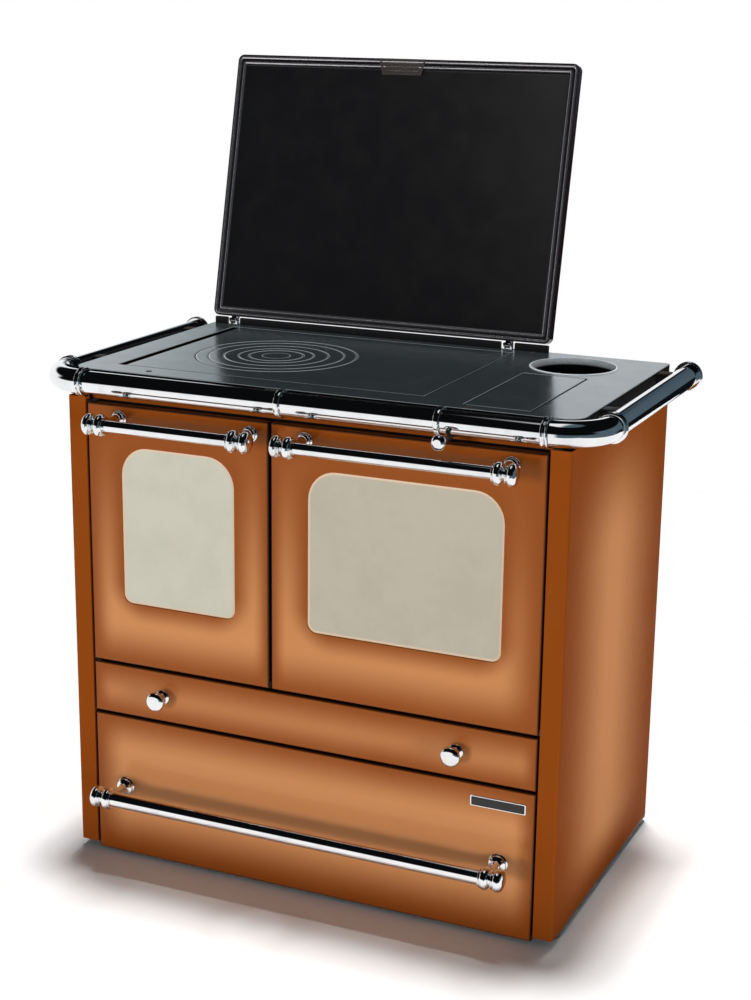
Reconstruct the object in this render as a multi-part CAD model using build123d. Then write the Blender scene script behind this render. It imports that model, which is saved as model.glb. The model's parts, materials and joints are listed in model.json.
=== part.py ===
from build123d import *
import os

# Wood cookstove with a hinged hob cover. Millimetres, +X right, +Y to the back, +Z up.
# While it is drawn, y = 0 is the front face of the casing and z = 0 the floor.

# ---------------------------------------------------------------- casing
casing_width = 880.0      # over the two side panels
casing_depth = 534.0      # casing front to the rear face of the back panel
sheet = 2.0               # enamelled casing sheet
bend_radius = 4.0         # outer radius of the folded casing corners
flange_width = 33.5       # front flange of a side panel
flange_lip = 14.0         # depth of the lip behind that flange
rear_return = 25.0        # rear flange of a side panel
rim_gap = 4.0             # side panels to the hob's rim above them
back_slot_width = 70.0
back_slot_height = 6.0
back_slot_pitch = 18.0
back_slot_rows = 5
back_screw_radius = 4.0
back_screw_head = 2.5
back_screw_inset = 30.0   # from the panel's top and bottom

# ---------------------------------------------------------------- base and chassis
foot_height = 8.0
foot_radius = 20.0
base_thickness = 6.0
base_bar = 44.0           # width of the base frame's bars
base_setback = 24.0       # base frame behind the casing front
base_edge = 1.0           # how far the base frame stays inside the casing
facade_thickness = 6.0
facade_gap = 4.0          # door frames to the facade, bridged by the rope
liner_gap = 18.0          # casing to the inner steel liner
liner_sheet = 2.0
liner_rear_gap = 28.0
deck_lift = 1.5           # deck above the ash drawer's front
deck_thickness = 3.0
shelf_drop = 5.5          # shelf below the ash drawer's front
shelf_thickness = 2.0

# ---------------------------------------------------------------- fronts
panel_gap = 3.0           # shadow gap round every front
door_split = -64.0        # middle of the gap between the two doors
split_gap = 4.0
front_depth = 18.0        # depth of the folded front pans
edge_round = 4.0
wood_front_bottom = 5.0
wood_front_height = 256.5
ash_front_height = 91.0
door_height = 451.5

# ---------------------------------------------------------------- doors
window_sill = 110.5       # door's lower edge to the window
window_header = 69.0      # window to the door's upper edge
fire_window_side = 63.0
oven_window_side = 66.0
window_top_round = 50.0
window_bottom_round = 16.0
glass_thickness = 4.0
glass_margin = 12.0
glass_gap = 0.3
door_frame_inset = 8.0
door_frame_thickness = 8.0
seal_width = 9.0
seal_groove = 4.0
seal_gap = 0.3            # sealing rope to the facade, doors shut
seal_margin = 10.0        # facade mouth to the middle of the rope
seal_round = 14.0
hinge_inset = 6.5         # hinge axis behind the door face and in from its edge
hinge_pin_radius = 3.0
hinge_pin_length = 14.0
hinge_block = 15.0
hinge_lug = 2.0
hinge_nose = 5.0          # half width of a lug
lug_gap = 0.5             # lug to door edge
running_gap = 0.05        # radial clearance of every turning pin
passing_gap = 0.4         # radial clearance of a hole that a rod or pin only passes

# ---------------------------------------------------------------- handles and knobs
bar_reach = 58.0          # bar axis in front of the panel face
door_bar_radius = 9.0
door_bar_drop = 22.0      # bar axis below the door's upper edge
fire_post_insets = (62.5, 31.5)   # posts from the left and right edge of the door
oven_post_insets = (62.0, 56.5)
wood_bar_radius = 13.0
wood_bar_rise = 127.0     # bar axis above the front's lower edge
wood_post_inset = 58.5
fitting_lobe = 5.5        # lobes of a fitting over the bar's radius
fitting_half = 9.0        # half length of the inner lobe
fitting_neck = 4.0
fitting_waist = 1.0       # neck inside the bar's radius
fitting_foot = 1.5        # foot inside the lobes' radius
finial_reach = 31.0       # post axis to the end of the outer lobe
post_radius = 7.0
post_foot = 4.0           # thickness of the foot on the panel
knob_radius = 17.0
knob_reach = 33.0
knob_inset = 135.5        # knob axis from the end of the ash drawer's front

# ---------------------------------------------------------------- firebox
mouth_sill = 81.5         # door's lower edge to the firebox and oven mouths
mouth_header = 50.0
fire_mouth_side = 36.75   # door's side edge to the mouth
oven_mouth_side = 62.75
fire_wall = 6.0
brick_thickness = 18.0
brick_height = 250.0
brick_gap = 0.3
fire_rear_gap = 68.0      # firebox to the liner's rear wall
fire_floor_rise = 24.0    # clear height below the firebox floor
fire_top_gap = 8.0        # firebox rim below the hob plate
smoke_gate_rise = 11.0    # lower edge of the smoke passage above the oven
smoke_gate_inset = 36.0
grate_length = 240.0
grate_width = 220.0
grate_thickness = 12.0
grate_ledge = 10.0
grate_rib = 8.0
grate_slots = 9
grate_slot_width = 9.0
grate_flare = 5.0         # how much wider the slots are below

# ---------------------------------------------------------------- oven
oven_rear_gap = 74.0      # oven to the liner's rear wall
oven_wall = 2.0
oven_flange = 10.0
oven_leg_inset = 50.0
rack_rail_width = 11.0
rack_rail_thickness = 3.0
rack_upright = 12.0
rack_rail_front = 20.0
rack_rail_rear = 6.0
rack_rail_first = 60.0    # lowest ledge above the oven floor
rack_rail_pitch = 80.0
rack_ledges = 3
rack_gap = 2.0            # rack and tray to the uprights and the rear
rack_seat = 0.3           # uprights to the oven wall
rack_wire = 5.0
rack_rung_wire = 3.0
rack_rungs = 9
tray_sheet = 1.5
tray_depth = 36.0
tray_slope = 12.0         # how far a tray wall leans in

# ---------------------------------------------------------------- drawers
box_side_gap = 26.0       # drawer box to the liner
box_rear_gap = 44.0
box_wall = 1.5
backing_inset = 1.0       # backing plate inside the front's edges
mouth_gap = 4.0           # drawer box to the sides of its mouth
mouth_rim = 8.0           # facade bar between the two drawer mouths
mouth_lintel = 4.0        # facade over the ash drawer's mouth, below the front's edge
runner_thickness = 3.0
runner_overlap = 19.0     # how far a runner reaches below the box
runner_leg = 24.0
runner_gap = 0.3
runner_end_gap = 8.0
wood_runner_rise = 4.0    # runner above the base frame
wood_box_drop = 36.0      # box edge below the front's upper edge
ash_runner_rise = 1.5     # runner above the shelf
ash_box_height = 34.0
ash_pan_side = 14.0       # pan beyond the firebox mouth, each side
ash_pan_rear_gap = 40.0
ash_pan_height = 66.0
ash_pan_rim = 6.0

# ---------------------------------------------------------------- hob
hob_rise = 52.0           # doors' upper edge to the hob's top
hob_plate = 8.0
hob_skirt = 20.0          # height of the rim
hob_skirt_thickness = 8.0
hob_edge_chamfer = 1.5
hob_overhang = 5.0        # over each side panel
hob_clearance = 1.0       # facade to the hob's rim
hob_setback = 20.0        # rim behind the casing front
hob_rear_gap = 18.0       # rim to the rear face of the casing
hob_front_round = 30.0
hob_rear_round = 8.0
plate_left_margin = 66.0  # hob edge to the mouth for the ring plate
plate_right_margin = 273.0
plate_front_margin = 54.0
plate_rear_margin = 33.0
plate_ledge = 8.0
plate_ledge_thickness = 6.0
plate_slot = 6.0          # expansion slot on the left of the plate
plate_joint = 1.5         # other joints round the plate
ring_from_left = 193.0    # ring axis from the mouth's left edge
ring_from_front = 190.0
ring_radii = (65.0, 90.5, 117.5)   # lid disc, middle ring, outer ring, at the top
ring_taper = 6.0          # how much smaller they are at the bottom
ring_joint = 0.35
groove_width = 2.0
groove_depth = 1.0
plate_groove_radius = 140.0
disc_groove_radius = 47.0
lifter_slot = (16.0, 8.0)
lifter_slot_depth = 4.0
pad_left_margin = 198.0   # sunk pad from the hob's right edge
pad_right_margin = 87.0
pad_front_margin = 26.0
pad_rear_gap = 88.0       # pad to the flue's axis
pad_sink = 1.5
flue_from_right = 140.0   # flue axis from the hob's right edge
flue_from_rear = 106.0
flue_radius = 70.5        # takes a 140 mm pipe
flue_wall = 3.5
flue_fit = 0.4
flue_seat = 1.0           # ledge of the smoke box inside the collar's wall
flue_collar_height = 47.0

# ---------------------------------------------------------------- smoke box and damper
smoke_box_side = 15.5     # smoke box beyond the flue collar
smoke_box_sheet = 3.0
smoke_port_width = 130.0
smoke_port_height = 34.0
damper_from_flue = 59.0   # damper rod to the left of the flue's axis
damper_rod_radius = 4.0
damper_rail_gap = 1.0
damper_gate_gap = 0.3
damper_gate_lift = 0.5
damper_gate_thickness = 4.0
damper_gate_border = 8.0
damper_tab = 4.0          # metal round the rod's end
damper_knob_radius = 12.5
damper_knob_front = 56.0
damper_knob_length = 24.0

# ---------------------------------------------------------------- towel rail
rail_radius = 19.0
rail_drop = 17.0          # rail axis below the hob's top
rail_front_gap = 9.0      # tube to the hob's front edge
rail_side_gap = 15.0      # tubes to the hob's side edges
rail_bend = 70.0
rail_end_gap = 16.0       # tube end to the hob's rear edge
rail_elbow_swell = 1.5    # elbows are this much thicker than the tubes
collar_radius = 24.5
collar_length = 12.0
rail_ring_right = 26.0    # first ring to the right of the doors' gap
rail_ring_left = 14.0     # second ring to the left of the damper rod
rail_ring_radius = 23.0
rail_ring_length = 10.0
rail_seat = 0.1           # radial seat of rings and brackets on the tube
rail_bracket_ends = (110.0, 60.0)   # from the hob's front and from the tubes' rear ends
rail_bracket_width = 24.0
rail_bracket_right = 2.0  # front bracket to the right of the doors' gap
rail_front_bracket_width = 34.0
rail_bracket_height = 19.0
rail_cap_radius = 25.0
rail_cap_length = 14.0
rail_clearance = 2.5      # casing to the rail's collars

# ---------------------------------------------------------------- hob cover
cover_left_margin = 1.0   # cover inside the hob's left edge
cover_right_margin = 217.0
cover_overhang = 8.0      # cover in front of the hob when shut
cover_rear_margin = 14.0
cover_height = 22.0
cover_lift = 1.0          # rim above the hob when shut
cover_sheet = 2.0
cover_corner = 12.0
cover_inner_corner = 3.0
cover_edge = 4.0
cover_lip = 8.0
cover_lean = 13.0         # degrees past upright when open
cover_pull_width = 92.0
cover_pull_root = 66.0
cover_pull_depth = 38.0
cover_pull_fit = 0.3
cover_pull_grooves = 4
cover_pull_groove = 3.0
cover_tray_sheet = 1.5
cover_tray_fit = 0.3
cover_tray_border = 9.0   # flat border before the tray steps in
cover_tray_drop = 5.0
cover_hinge_insets = (43.0, 78.0)   # hinges from the cover's left and right edge
cover_hinge_rise = 6.5
cover_hinge_back = 8.0    # hinge axis behind the cover
cover_pin_radius = 2.5
knuckle_half = 5.0        # radius of a knuckle
knuckle_length = 10.0
cover_leaf_height = 14.0
cover_ear = 3.0
cover_ear_gap = 0.3
cover_bracket_plate = 1.0
cover_bracket_wing = 2.0

# ---------------------------------------------------------------- worked-out heights
base_top = foot_height + base_thickness
wood_front_top = wood_front_bottom + wood_front_height
ash_front_bottom = wood_front_top + panel_gap
ash_front_top = ash_front_bottom + ash_front_height
door_bottom = ash_front_top + panel_gap
door_top = door_bottom + door_height
shelf_bottom = ash_front_bottom - shelf_drop
shelf_top = shelf_bottom + shelf_thickness
deck_bottom = ash_front_top + deck_lift
deck_top = deck_bottom + deck_thickness
window_bottom = door_bottom + window_sill
window_top = door_top - window_header
mouth_bottom = door_bottom + mouth_sill
mouth_top = door_top - mouth_header
oven_hinge_z = door_bottom + hinge_inset
door_bar_z = door_top - door_bar_drop
wood_bar_z = wood_front_bottom + wood_bar_rise
hob_top = door_top + hob_rise
hob_under = hob_top - hob_plate
skirt_bottom = hob_top - hob_skirt
panel_top = skirt_bottom - rim_gap
fire_floor = deck_top + fire_floor_rise + fire_wall
fire_top = hob_under - fire_top_gap
oven_top = mouth_top + oven_wall
smoke_box_top = hob_top - flue_collar_height
rail_z = hob_top - rail_drop
rail_notch = rail_z - collar_radius - rail_clearance   # the casing stays below and behind the rail
damper_z = rail_z - rail_radius - damper_rail_gap - damper_rod_radius
cover_under = hob_top + cover_lift
cover_top = cover_under + cover_height
cover_hinge_z = hob_top + cover_hinge_rise
wood_runner_z = base_top + wood_runner_rise
wood_box_z = wood_runner_z + runner_thickness + runner_gap
ash_runner_z = shelf_top + ash_runner_rise
ash_box_z = ash_runner_z + runner_thickness + runner_gap

# ---------------------------------------------------------------- worked-out places across and in depth
half_width = casing_width / 2
flange_edge = half_width - flange_width
front_half = flange_edge - panel_gap
fire_door_left = -front_half
fire_door_right = door_split - split_gap / 2
oven_door_left = door_split + split_gap / 2
oven_door_right = front_half
fire_left = fire_door_left + fire_mouth_side
fire_right = fire_door_right - fire_mouth_side
fire_middle = (fire_left + fire_right) / 2
oven_left = oven_door_left + oven_mouth_side
oven_right = oven_door_right - oven_mouth_side
oven_middle = (oven_left + oven_right) / 2
fire_hinge_x = fire_door_left + hinge_inset
right_lug_x = (front_half + flange_edge) / 2
liner_half = half_width - liner_gap - liner_sheet
box_half = liner_half - box_side_gap
hob_half = half_width + hob_overhang
plate_left = -hob_half + plate_left_margin
plate_right = hob_half - plate_right_margin
ring_x = plate_left + ring_from_left
flue_x = hob_half - flue_from_right
damper_x = flue_x - damper_from_flue
rail_side = hob_half + rail_side_gap + rail_radius
rail_ring_x = (door_split + rail_ring_right, damper_x - rail_ring_left)
rail_bracket_x = door_split + rail_bracket_right
cover_left = -hob_half + cover_left_margin
cover_right = hob_half - cover_right_margin
cover_middle = (cover_left + cover_right) / 2
cover_hinge_x = (cover_left + cover_hinge_insets[0], cover_right - cover_hinge_insets[1])

panel_depth = casing_depth - sheet
door_back = front_depth + door_frame_thickness
facade_front = door_back + facade_gap
facade_back = facade_front + facade_thickness
liner_rear = casing_depth - liner_rear_gap - liner_sheet
fire_back = liner_rear - fire_rear_gap
oven_back = liner_rear - oven_rear_gap
backing_back = front_depth + sheet
box_back = liner_rear - box_rear_gap
hob_front = hob_setback
hob_rear = casing_depth - hob_rear_gap
plate_front = hob_front + plate_front_margin
plate_rear = hob_rear - plate_rear_margin
ring_y = plate_front + ring_from_front
flue_y = hob_rear - flue_from_rear
smoke_box_half = flue_radius + flue_wall + smoke_box_side
smoke_front = flue_y - smoke_box_half
rail_front = hob_front - rail_front_gap - rail_radius
rail_end = hob_rear - rail_end_gap
fascia_front = rail_front + collar_radius + rail_clearance
cover_front = hob_front - cover_overhang
cover_rear = hob_rear - cover_rear_margin
cover_hinge_y = cover_rear + cover_hinge_back
cover_axis = Axis((0, cover_hinge_y, cover_hinge_z), (1, 0, 0))


# ---------------------------------------------------------------- shared shapes
def block(x0, x1, y0, y1, z0, z1):
    """Rectangular solid between two corners."""
    middle = Pos((x0 + x1) / 2, (y0 + y1) / 2, (z0 + z1) / 2)
    return middle * Box(x1 - x0, y1 - y0, z1 - z0)


def rod_x(x0, x1, y, z, radius):
    """Round bar along X."""
    return Pos((x0 + x1) / 2, y, z) * Rot(0, 90, 0) * Cylinder(radius, x1 - x0)


def rod_y(x, y0, y1, z, radius):
    """Round bar along Y."""
    return Pos(x, (y0 + y1) / 2, z) * Rot(90, 0, 0) * Cylinder(radius, y1 - y0)


def rod_z(x, y, z0, z1, radius):
    """Round bar along Z."""
    return Pos(x, y, (z0 + z1) / 2) * Cylinder(radius, z1 - z0)


def turned(*profile):
    """Solid of revolution about Z from the (radius, height) corners of its closed half section."""
    outline = Polyline(*[(radius, 0, height) for radius, height in profile], close=True)
    return revolve(make_face(outline), Axis.Z)


def upright_panel(x0, x1, z0, z1, y0, y1, top_round, bottom_round):
    """Plate standing across the front, with one radius for its top corners and one for the bottom."""
    plan = Rectangle(x1 - x0, z1 - z0)
    plan = fillet(plan.vertices().group_by(Axis.Y)[-1], top_round)
    plan = fillet(plan.vertices().group_by(Axis.Y)[0], bottom_round)
    rear = Plane(((x0 + x1) / 2, y1, (z0 + z1) / 2), x_dir=(1, 0, 0), z_dir=(0, -1, 0))
    return extrude(rear * plan, amount=y1 - y0)


def both_sides(shape):
    """A piece and its mirror image across the middle of the stove."""
    return [shape, mirror(shape, about=Plane.YZ)]


# ---------------------------------------------------------------- casing
def side_panel():
    """Left side panel: front flange with lip, side sheet and rear return, folded from one sheet."""
    middle = -(half_width + flange_edge) / 2
    outer = Pos(middle, panel_depth / 2) * Rectangle(flange_width, panel_depth)
    outer = fillet(outer.vertices().group_by(Axis.X)[0], bend_radius)
    inner = Pos(middle + sheet / 2, panel_depth / 2)
    inner = inner * Rectangle(flange_width - sheet, panel_depth - 2 * sheet)
    inner = fillet(inner.vertices().group_by(Axis.X)[0], bend_radius - sheet)
    lip = Pos(-flange_edge - sheet / 2, flange_lip / 2) * Rectangle(sheet, flange_lip)
    spare = flange_width - rear_return
    open_rear = Pos(-flange_edge - spare / 2, panel_depth - sheet / 2) * Rectangle(spare, sheet)
    panel = extrude(Plane.XY.offset(base_top) * (outer - inner - open_rear + lip), amount=panel_top - base_top)
    return panel - block(-half_width, -flange_edge, 0, door_back, rail_notch, panel_top)


def back_panel():
    """Flat rear sheet with two rows of ventilation louvres' slots."""
    edge = half_width - 2 * sheet
    plate = block(-edge, edge, panel_depth, casing_depth, base_top, panel_top)
    slot = Box(back_slot_width, 3 * sheet, back_slot_height)
    stack = (back_slot_rows - 1) * back_slot_pitch
    for x in (-half_width / 2, 0, half_width / 2):
        for middle in (deck_bottom / 2, (deck_bottom + panel_top) / 2):
            for row in range(back_slot_rows):
                z = middle - stack / 2 + row * back_slot_pitch
                plate -= Pos(x, casing_depth, z) * slot
    return plate


def back_screws():
    """Hexagon-head screws that hold the back panel to the side panels' returns."""
    head = extrude(RegularPolygon(back_screw_radius, 6), amount=back_screw_head)
    x = half_width - rear_return / 2 - sheet
    screws = []
    for z in (base_top + back_screw_inset, (base_top + panel_top) / 2, panel_top - back_screw_inset):
        screws += both_sides(Pos(-x, casing_depth, z) * Rot(-90, 0, 0) * head)
    return screws


def top_fascia():
    """Folded strip between the doors and the hob, bored for the damper rod."""
    z0 = door_top + panel_gap
    strip = block(-front_half, front_half, fascia_front, facade_front, z0, panel_top)
    strip -= block(-front_half, front_half, fascia_front + sheet, facade_front, z0 + sheet, panel_top - sheet)
    return strip - rod_y(damper_x, fascia_front, facade_front, damper_z, damper_rod_radius + passing_gap)


# ---------------------------------------------------------------- base and chassis
def levelling_feet():
    """Four round feet under the corners of the base frame."""
    x = half_width - base_edge - base_bar / 2
    rows = (base_setback + base_bar / 2, panel_depth - base_bar / 2)
    return [rod_z(side * x, y, 0, foot_height, foot_radius) for side in (-1, 1) for y in rows]


def base_frame():
    """Flat bar frame that the casing and the chassis stand on."""
    edge = half_width - base_edge
    plate = block(-edge, edge, base_setback, panel_depth, foot_height, base_top)
    inner = edge - base_bar
    return plate - block(-inner, inner, base_setback + base_bar, panel_depth - base_bar, foot_height, base_top)


def front_frame():
    """Cast facade behind the doors: four mouths, the damper bore and the hinge lugs."""
    edge = half_width - sheet - base_edge
    plate = block(-edge, edge, facade_front, facade_back, base_top, hob_under)
    drawer_half = box_half + mouth_gap
    mouths = [
        (fire_left, fire_right, mouth_bottom, mouth_top),
        (oven_left, oven_right, mouth_bottom, mouth_top),
        (-drawer_half, drawer_half, ash_front_bottom, ash_front_top - mouth_lintel),
        (-drawer_half, drawer_half, wood_runner_z, ash_front_bottom - mouth_rim),
    ]
    for x0, x1, z0, z1 in mouths:
        plate -= block(x0, x1, facade_front, facade_back, z0, z1)
    shoulder = block(hob_half - hob_front_round, edge, facade_front, facade_back, skirt_bottom - hob_clearance,
                     hob_under)
    plate -= both_sides(shoulder)
    plate -= rod_y(damper_x, facade_front, facade_back, damper_z, damper_rod_radius + passing_gap)
    return plate + fire_hinge_lugs() + oven_hinge_lugs()


def fire_hinge_lugs():
    """Flat lugs above and below the firebox door, bored for its pins."""
    lugs = []
    for z in (door_bottom - lug_gap - hinge_lug, door_top + lug_gap):
        lug = block(fire_hinge_x - hinge_nose, fire_hinge_x + hinge_nose, hinge_inset - hinge_nose,
                    facade_front, z, z + hinge_lug)
        lugs.append(lug - rod_z(fire_hinge_x, hinge_inset, z, z + hinge_lug, hinge_pin_radius + running_gap))
    return lugs


def oven_hinge_lugs():
    """Upright lugs at the two lower corners of the oven door, bored for its pins."""
    lugs = []
    for x in (door_split - hinge_lug / 2, right_lug_x - hinge_lug / 2):
        lug = block(x, x + hinge_lug, hinge_inset - hinge_nose, facade_front,
                    oven_hinge_z - hinge_nose, oven_hinge_z + hinge_nose)
        lugs.append(lug - rod_x(x, x + hinge_lug, hinge_inset, oven_hinge_z, hinge_pin_radius + running_gap))
    return lugs


def inner_liner():
    """Steel liner round the chassis: two sides and a rear wall."""
    outer = liner_half + liner_sheet
    walls = block(-outer, outer, facade_back, liner_rear + liner_sheet, base_top, hob_under)
    return walls - block(-liner_half, liner_half, facade_back, liner_rear, base_top, hob_under)


def middle_deck():
    """Deck under the firebox and the oven, open below the grate."""
    deck = block(-liner_half, liner_half, facade_back, liner_rear, deck_bottom, deck_top)
    return deck - ash_chute(deck_bottom, deck_top)


def lower_shelf():
    """Shelf between the ash drawer and the wood drawer."""
    return block(-liner_half, liner_half, facade_back, liner_rear, shelf_bottom, shelf_top)


# ---------------------------------------------------------------- firebox
def grate_span():
    """Front and rear of the grate, in the middle of the firebox floor."""
    middle = (facade_back + fire_back - fire_wall - brick_thickness) / 2
    return middle - grate_length / 2, middle + grate_length / 2


def ash_chute(z0, z1):
    """Hole that the ash falls through."""
    half = grate_width / 2 - grate_ledge
    y0, y1 = grate_span()
    return block(fire_middle - half, fire_middle + half, y0 + grate_ledge, y1 - grate_ledge, z0, z1)


def firebox_shell():
    """Cast firebox: raised floor with the ash hole, three walls, a passage for the smoke beside the oven."""
    x0, x1 = fire_left - brick_thickness, fire_right + brick_thickness
    rear = fire_back - fire_wall
    shell = block(x0 - fire_wall, x1 + fire_wall, facade_back, fire_back, deck_top, fire_top)
    shell -= block(x0, x1, facade_back, rear, fire_floor, fire_top)
    shell -= block(x0, x1, facade_back, rear, deck_top, fire_floor - fire_wall)
    shell -= ash_chute(deck_top, fire_floor)
    gate = block(x1, x1 + fire_wall, facade_back + smoke_gate_inset, fire_back - smoke_gate_inset,
                 oven_top + smoke_gate_rise, fire_top)
    return shell - gate


def firebricks():
    """Two refractory bricks on each side wall and two on the rear wall."""
    left = fire_left - brick_thickness + brick_gap
    right = fire_right + brick_thickness - brick_gap
    front = facade_back + brick_gap
    rear = fire_back - fire_wall - brick_gap
    middle = (front + rear) / 2
    z0, z1 = fire_floor, fire_floor + brick_height
    bricks = []
    for y0, y1 in ((front, middle - brick_gap), (middle + brick_gap, rear)):
        bricks.append(block(left, left + brick_thickness, y0, y1, z0, z1))
        bricks.append(block(right - brick_thickness, right, y0, y1, z0, z1))
    left += brick_thickness + brick_gap
    right -= brick_thickness + brick_gap
    for x0, x1 in ((left, fire_middle - brick_gap), (fire_middle + brick_gap, right)):
        bricks.append(block(x0, x1, rear - brick_thickness, rear, z0, z1))
    return bricks


def fire_grate():
    """Cast grate: two rows of slots that widen downwards so that no ember jams in them."""
    y0, y1 = grate_span()
    half = grate_width / 2
    top = fire_floor + grate_thickness
    grate = block(fire_middle - half, fire_middle + half, y0, y1, fire_floor, top)
    slot_length = half - grate_ledge - 2 * grate_rib
    pitch = (grate_length - 2 * grate_ledge) / grate_slots
    for side in (-1, 1):
        x = fire_middle + side * (grate_rib + slot_length / 2)
        for n in range(grate_slots):
            y = y0 + grate_ledge + (n + 0.5) * pitch
            high = Plane((x, y, top)) * Rectangle(slot_length, grate_slot_width)
            low = Plane((x, y, fire_floor)) * Rectangle(slot_length + grate_flare, grate_slot_width + grate_flare)
            grate -= loft([low.face(), high.face()], ruled=True)
    return grate


# ---------------------------------------------------------------- oven
def oven_box():
    """Oven liner with its front flange, on two welded feet that leave the smoke passage."""
    w = oven_wall
    box = block(oven_left - w, oven_right + w, facade_back, oven_back + w, mouth_bottom - w, mouth_top + w)
    box += block(oven_left - oven_flange, oven_right + oven_flange, facade_back, facade_back + w,
                 mouth_bottom - oven_flange, mouth_top + oven_flange)
    for x in (oven_left + oven_leg_inset, oven_right - oven_leg_inset):
        box += block(x - w, x + w, facade_back + oven_flange, oven_back - oven_flange, deck_top, mouth_bottom)
    return box - block(oven_left, oven_right, facade_back, oven_back, mouth_bottom, mouth_top)


def ledge_height(ledge):
    """Underside of a ledge, counted from the lowest."""
    return mouth_bottom + rack_rail_first + ledge * rack_rail_pitch


def rack_rails():
    """Side frames in the oven: two uprights and a ledge at each level."""
    wall = oven_left + rack_seat
    y0, y1 = facade_back + rack_rail_front, oven_back - rack_rail_rear
    top = ledge_height(rack_ledges - 1) + rack_rail_thickness
    side = block(wall, wall + rack_rail_thickness, y0, y0 + rack_upright, mouth_bottom, top)
    side += block(wall, wall + rack_rail_thickness, y1 - rack_upright, y1, mouth_bottom, top)
    for ledge in range(rack_ledges):
        z = ledge_height(ledge)
        side += block(wall, wall + rack_rail_width, y0, y1, z, z + rack_rail_thickness)
    return [side, mirror(side, about=Plane.YZ.offset(oven_middle))]


def shelf_outline():
    """Left, right, front and rear of what lies on the ledges."""
    half = (oven_right - oven_left) / 2 - rack_seat - rack_rail_thickness - rack_gap
    y0 = facade_back + rack_rail_front + rack_gap
    y1 = oven_back - rack_rail_rear - rack_gap
    return oven_middle - half, oven_middle + half, y0, y1


def oven_rack():
    """Wire shelf: a square wire border and its rungs."""
    x0, x1, y0, y1 = shelf_outline()
    z0 = ledge_height(1) + rack_rail_thickness
    z1 = z0 + rack_wire
    rack = block(x0, x1, y0, y1, z0, z1)
    rack -= block(x0 + rack_wire, x1 - rack_wire, y0 + rack_wire, y1 - rack_wire, z0, z1)
    pitch = (y1 - y0) / (rack_rungs + 1)
    spare = (rack_wire - rack_rung_wire) / 2
    for n in range(1, rack_rungs + 1):
        y = y0 + n * pitch
        rack += block(x0 + spare, x1 - spare, y - rack_rung_wire / 2, y + rack_rung_wire / 2,
                      z0 + spare, z1 - spare)
    return rack


def tray_hollow(inset, z_rim, z_floor):
    """Inside or outside of the tray below its rim, leaning in towards the floor."""
    x0, x1, y0, y1 = shelf_outline()
    middle = ((x0 + x1) / 2, (y0 + y1) / 2)
    width, length = x1 - x0 - 2 * inset, y1 - y0 - 2 * inset
    rim = Plane((*middle, z_rim)) * Rectangle(width, length)
    floor = Plane((*middle, z_floor)) * Rectangle(width - 2 * tray_slope, length - 2 * tray_slope)
    return loft([rim.face(), floor.face()], ruled=True)


def baking_tray():
    """Shallow enamelled tray with sloping walls and a flat rim on the lowest ledges."""
    x0, x1, y0, y1 = shelf_outline()
    low = ledge_height(0) + rack_rail_thickness
    rim = low + tray_sheet
    inset = rack_rail_width + rack_gap
    tray = block(x0, x1, y0, y1, low, rim) + tray_hollow(inset, rim, low - tray_depth)
    return tray - tray_hollow(inset + tray_sheet, rim, rim - tray_depth)


# ---------------------------------------------------------------- smoke box and damper
def smoke_box():
    """Box below the flue outlet: a bypass port in front, open to the duct behind the oven."""
    x0, x1 = flue_x - smoke_box_half, flue_x + smoke_box_half
    y0, y1 = smoke_front, flue_y + smoke_box_half
    w = smoke_box_sheet
    box = block(x0, x1, y0, y1, oven_top, smoke_box_top)
    box -= block(x0 + w, x1 - w, y0 + w, y1 - w, oven_top, smoke_box_top - w)
    box -= rod_z(flue_x, flue_y, oven_top, smoke_box_top, flue_radius + flue_seat)
    half = smoke_port_width / 2
    return box - block(flue_x - half, flue_x + half, y0, y0 + w, oven_top, oven_top + smoke_port_height)


def flue_collar():
    """Steel spigot that the flue pipe drops into, flush with the hob."""
    collar = rod_z(flue_x, flue_y, smoke_box_top, hob_top, flue_radius + flue_wall)
    return collar - rod_z(flue_x, flue_y, smoke_box_top, hob_top, flue_radius)


def damper_gate():
    """Gate that shuts the bypass port, welded to its pull rod."""
    half = smoke_port_width / 2 + damper_gate_border
    y1 = smoke_front - damper_gate_gap
    y0 = y1 - damper_gate_thickness
    z0 = oven_top + damper_gate_lift
    z1 = oven_top + smoke_port_height + damper_gate_border
    gate = block(flue_x - half, flue_x + half, y0, y1, z0, z1)
    tab = damper_rod_radius + damper_tab
    gate += block(damper_x - tab, damper_x + tab, y0, y1, z0, damper_z + tab)
    return gate + rod_y(damper_x, damper_knob_length - damper_knob_front, y0, damper_z, damper_rod_radius)


def damper_knob():
    """Turned pull knob in front of the rail."""
    r, length = damper_knob_radius, damper_knob_length
    knob = turned((0, 0), (r * 0.5, 0), (r * 0.5, length * 0.35), (r, length * 0.55), (r, length * 0.8),
                  (r * 0.7, length), (0, length))
    return Pos(damper_x, length - damper_knob_front, damper_z) * Rot(90, 0, 0) * knob


# ---------------------------------------------------------------- hob
def hob_plan(inset):
    """Outline of the hob: large front corners, small rear corners."""
    plan = Rectangle(2 * (hob_half - inset), hob_rear - hob_front - 2 * inset)
    plan = fillet(plan.vertices().group_by(Axis.Y)[0], hob_front_round - inset)
    if hob_rear_round > inset:
        plan = fillet(plan.vertices().group_by(Axis.Y)[-1], hob_rear_round - inset)
    return Pos(0, (hob_front + hob_rear) / 2) * plan


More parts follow.
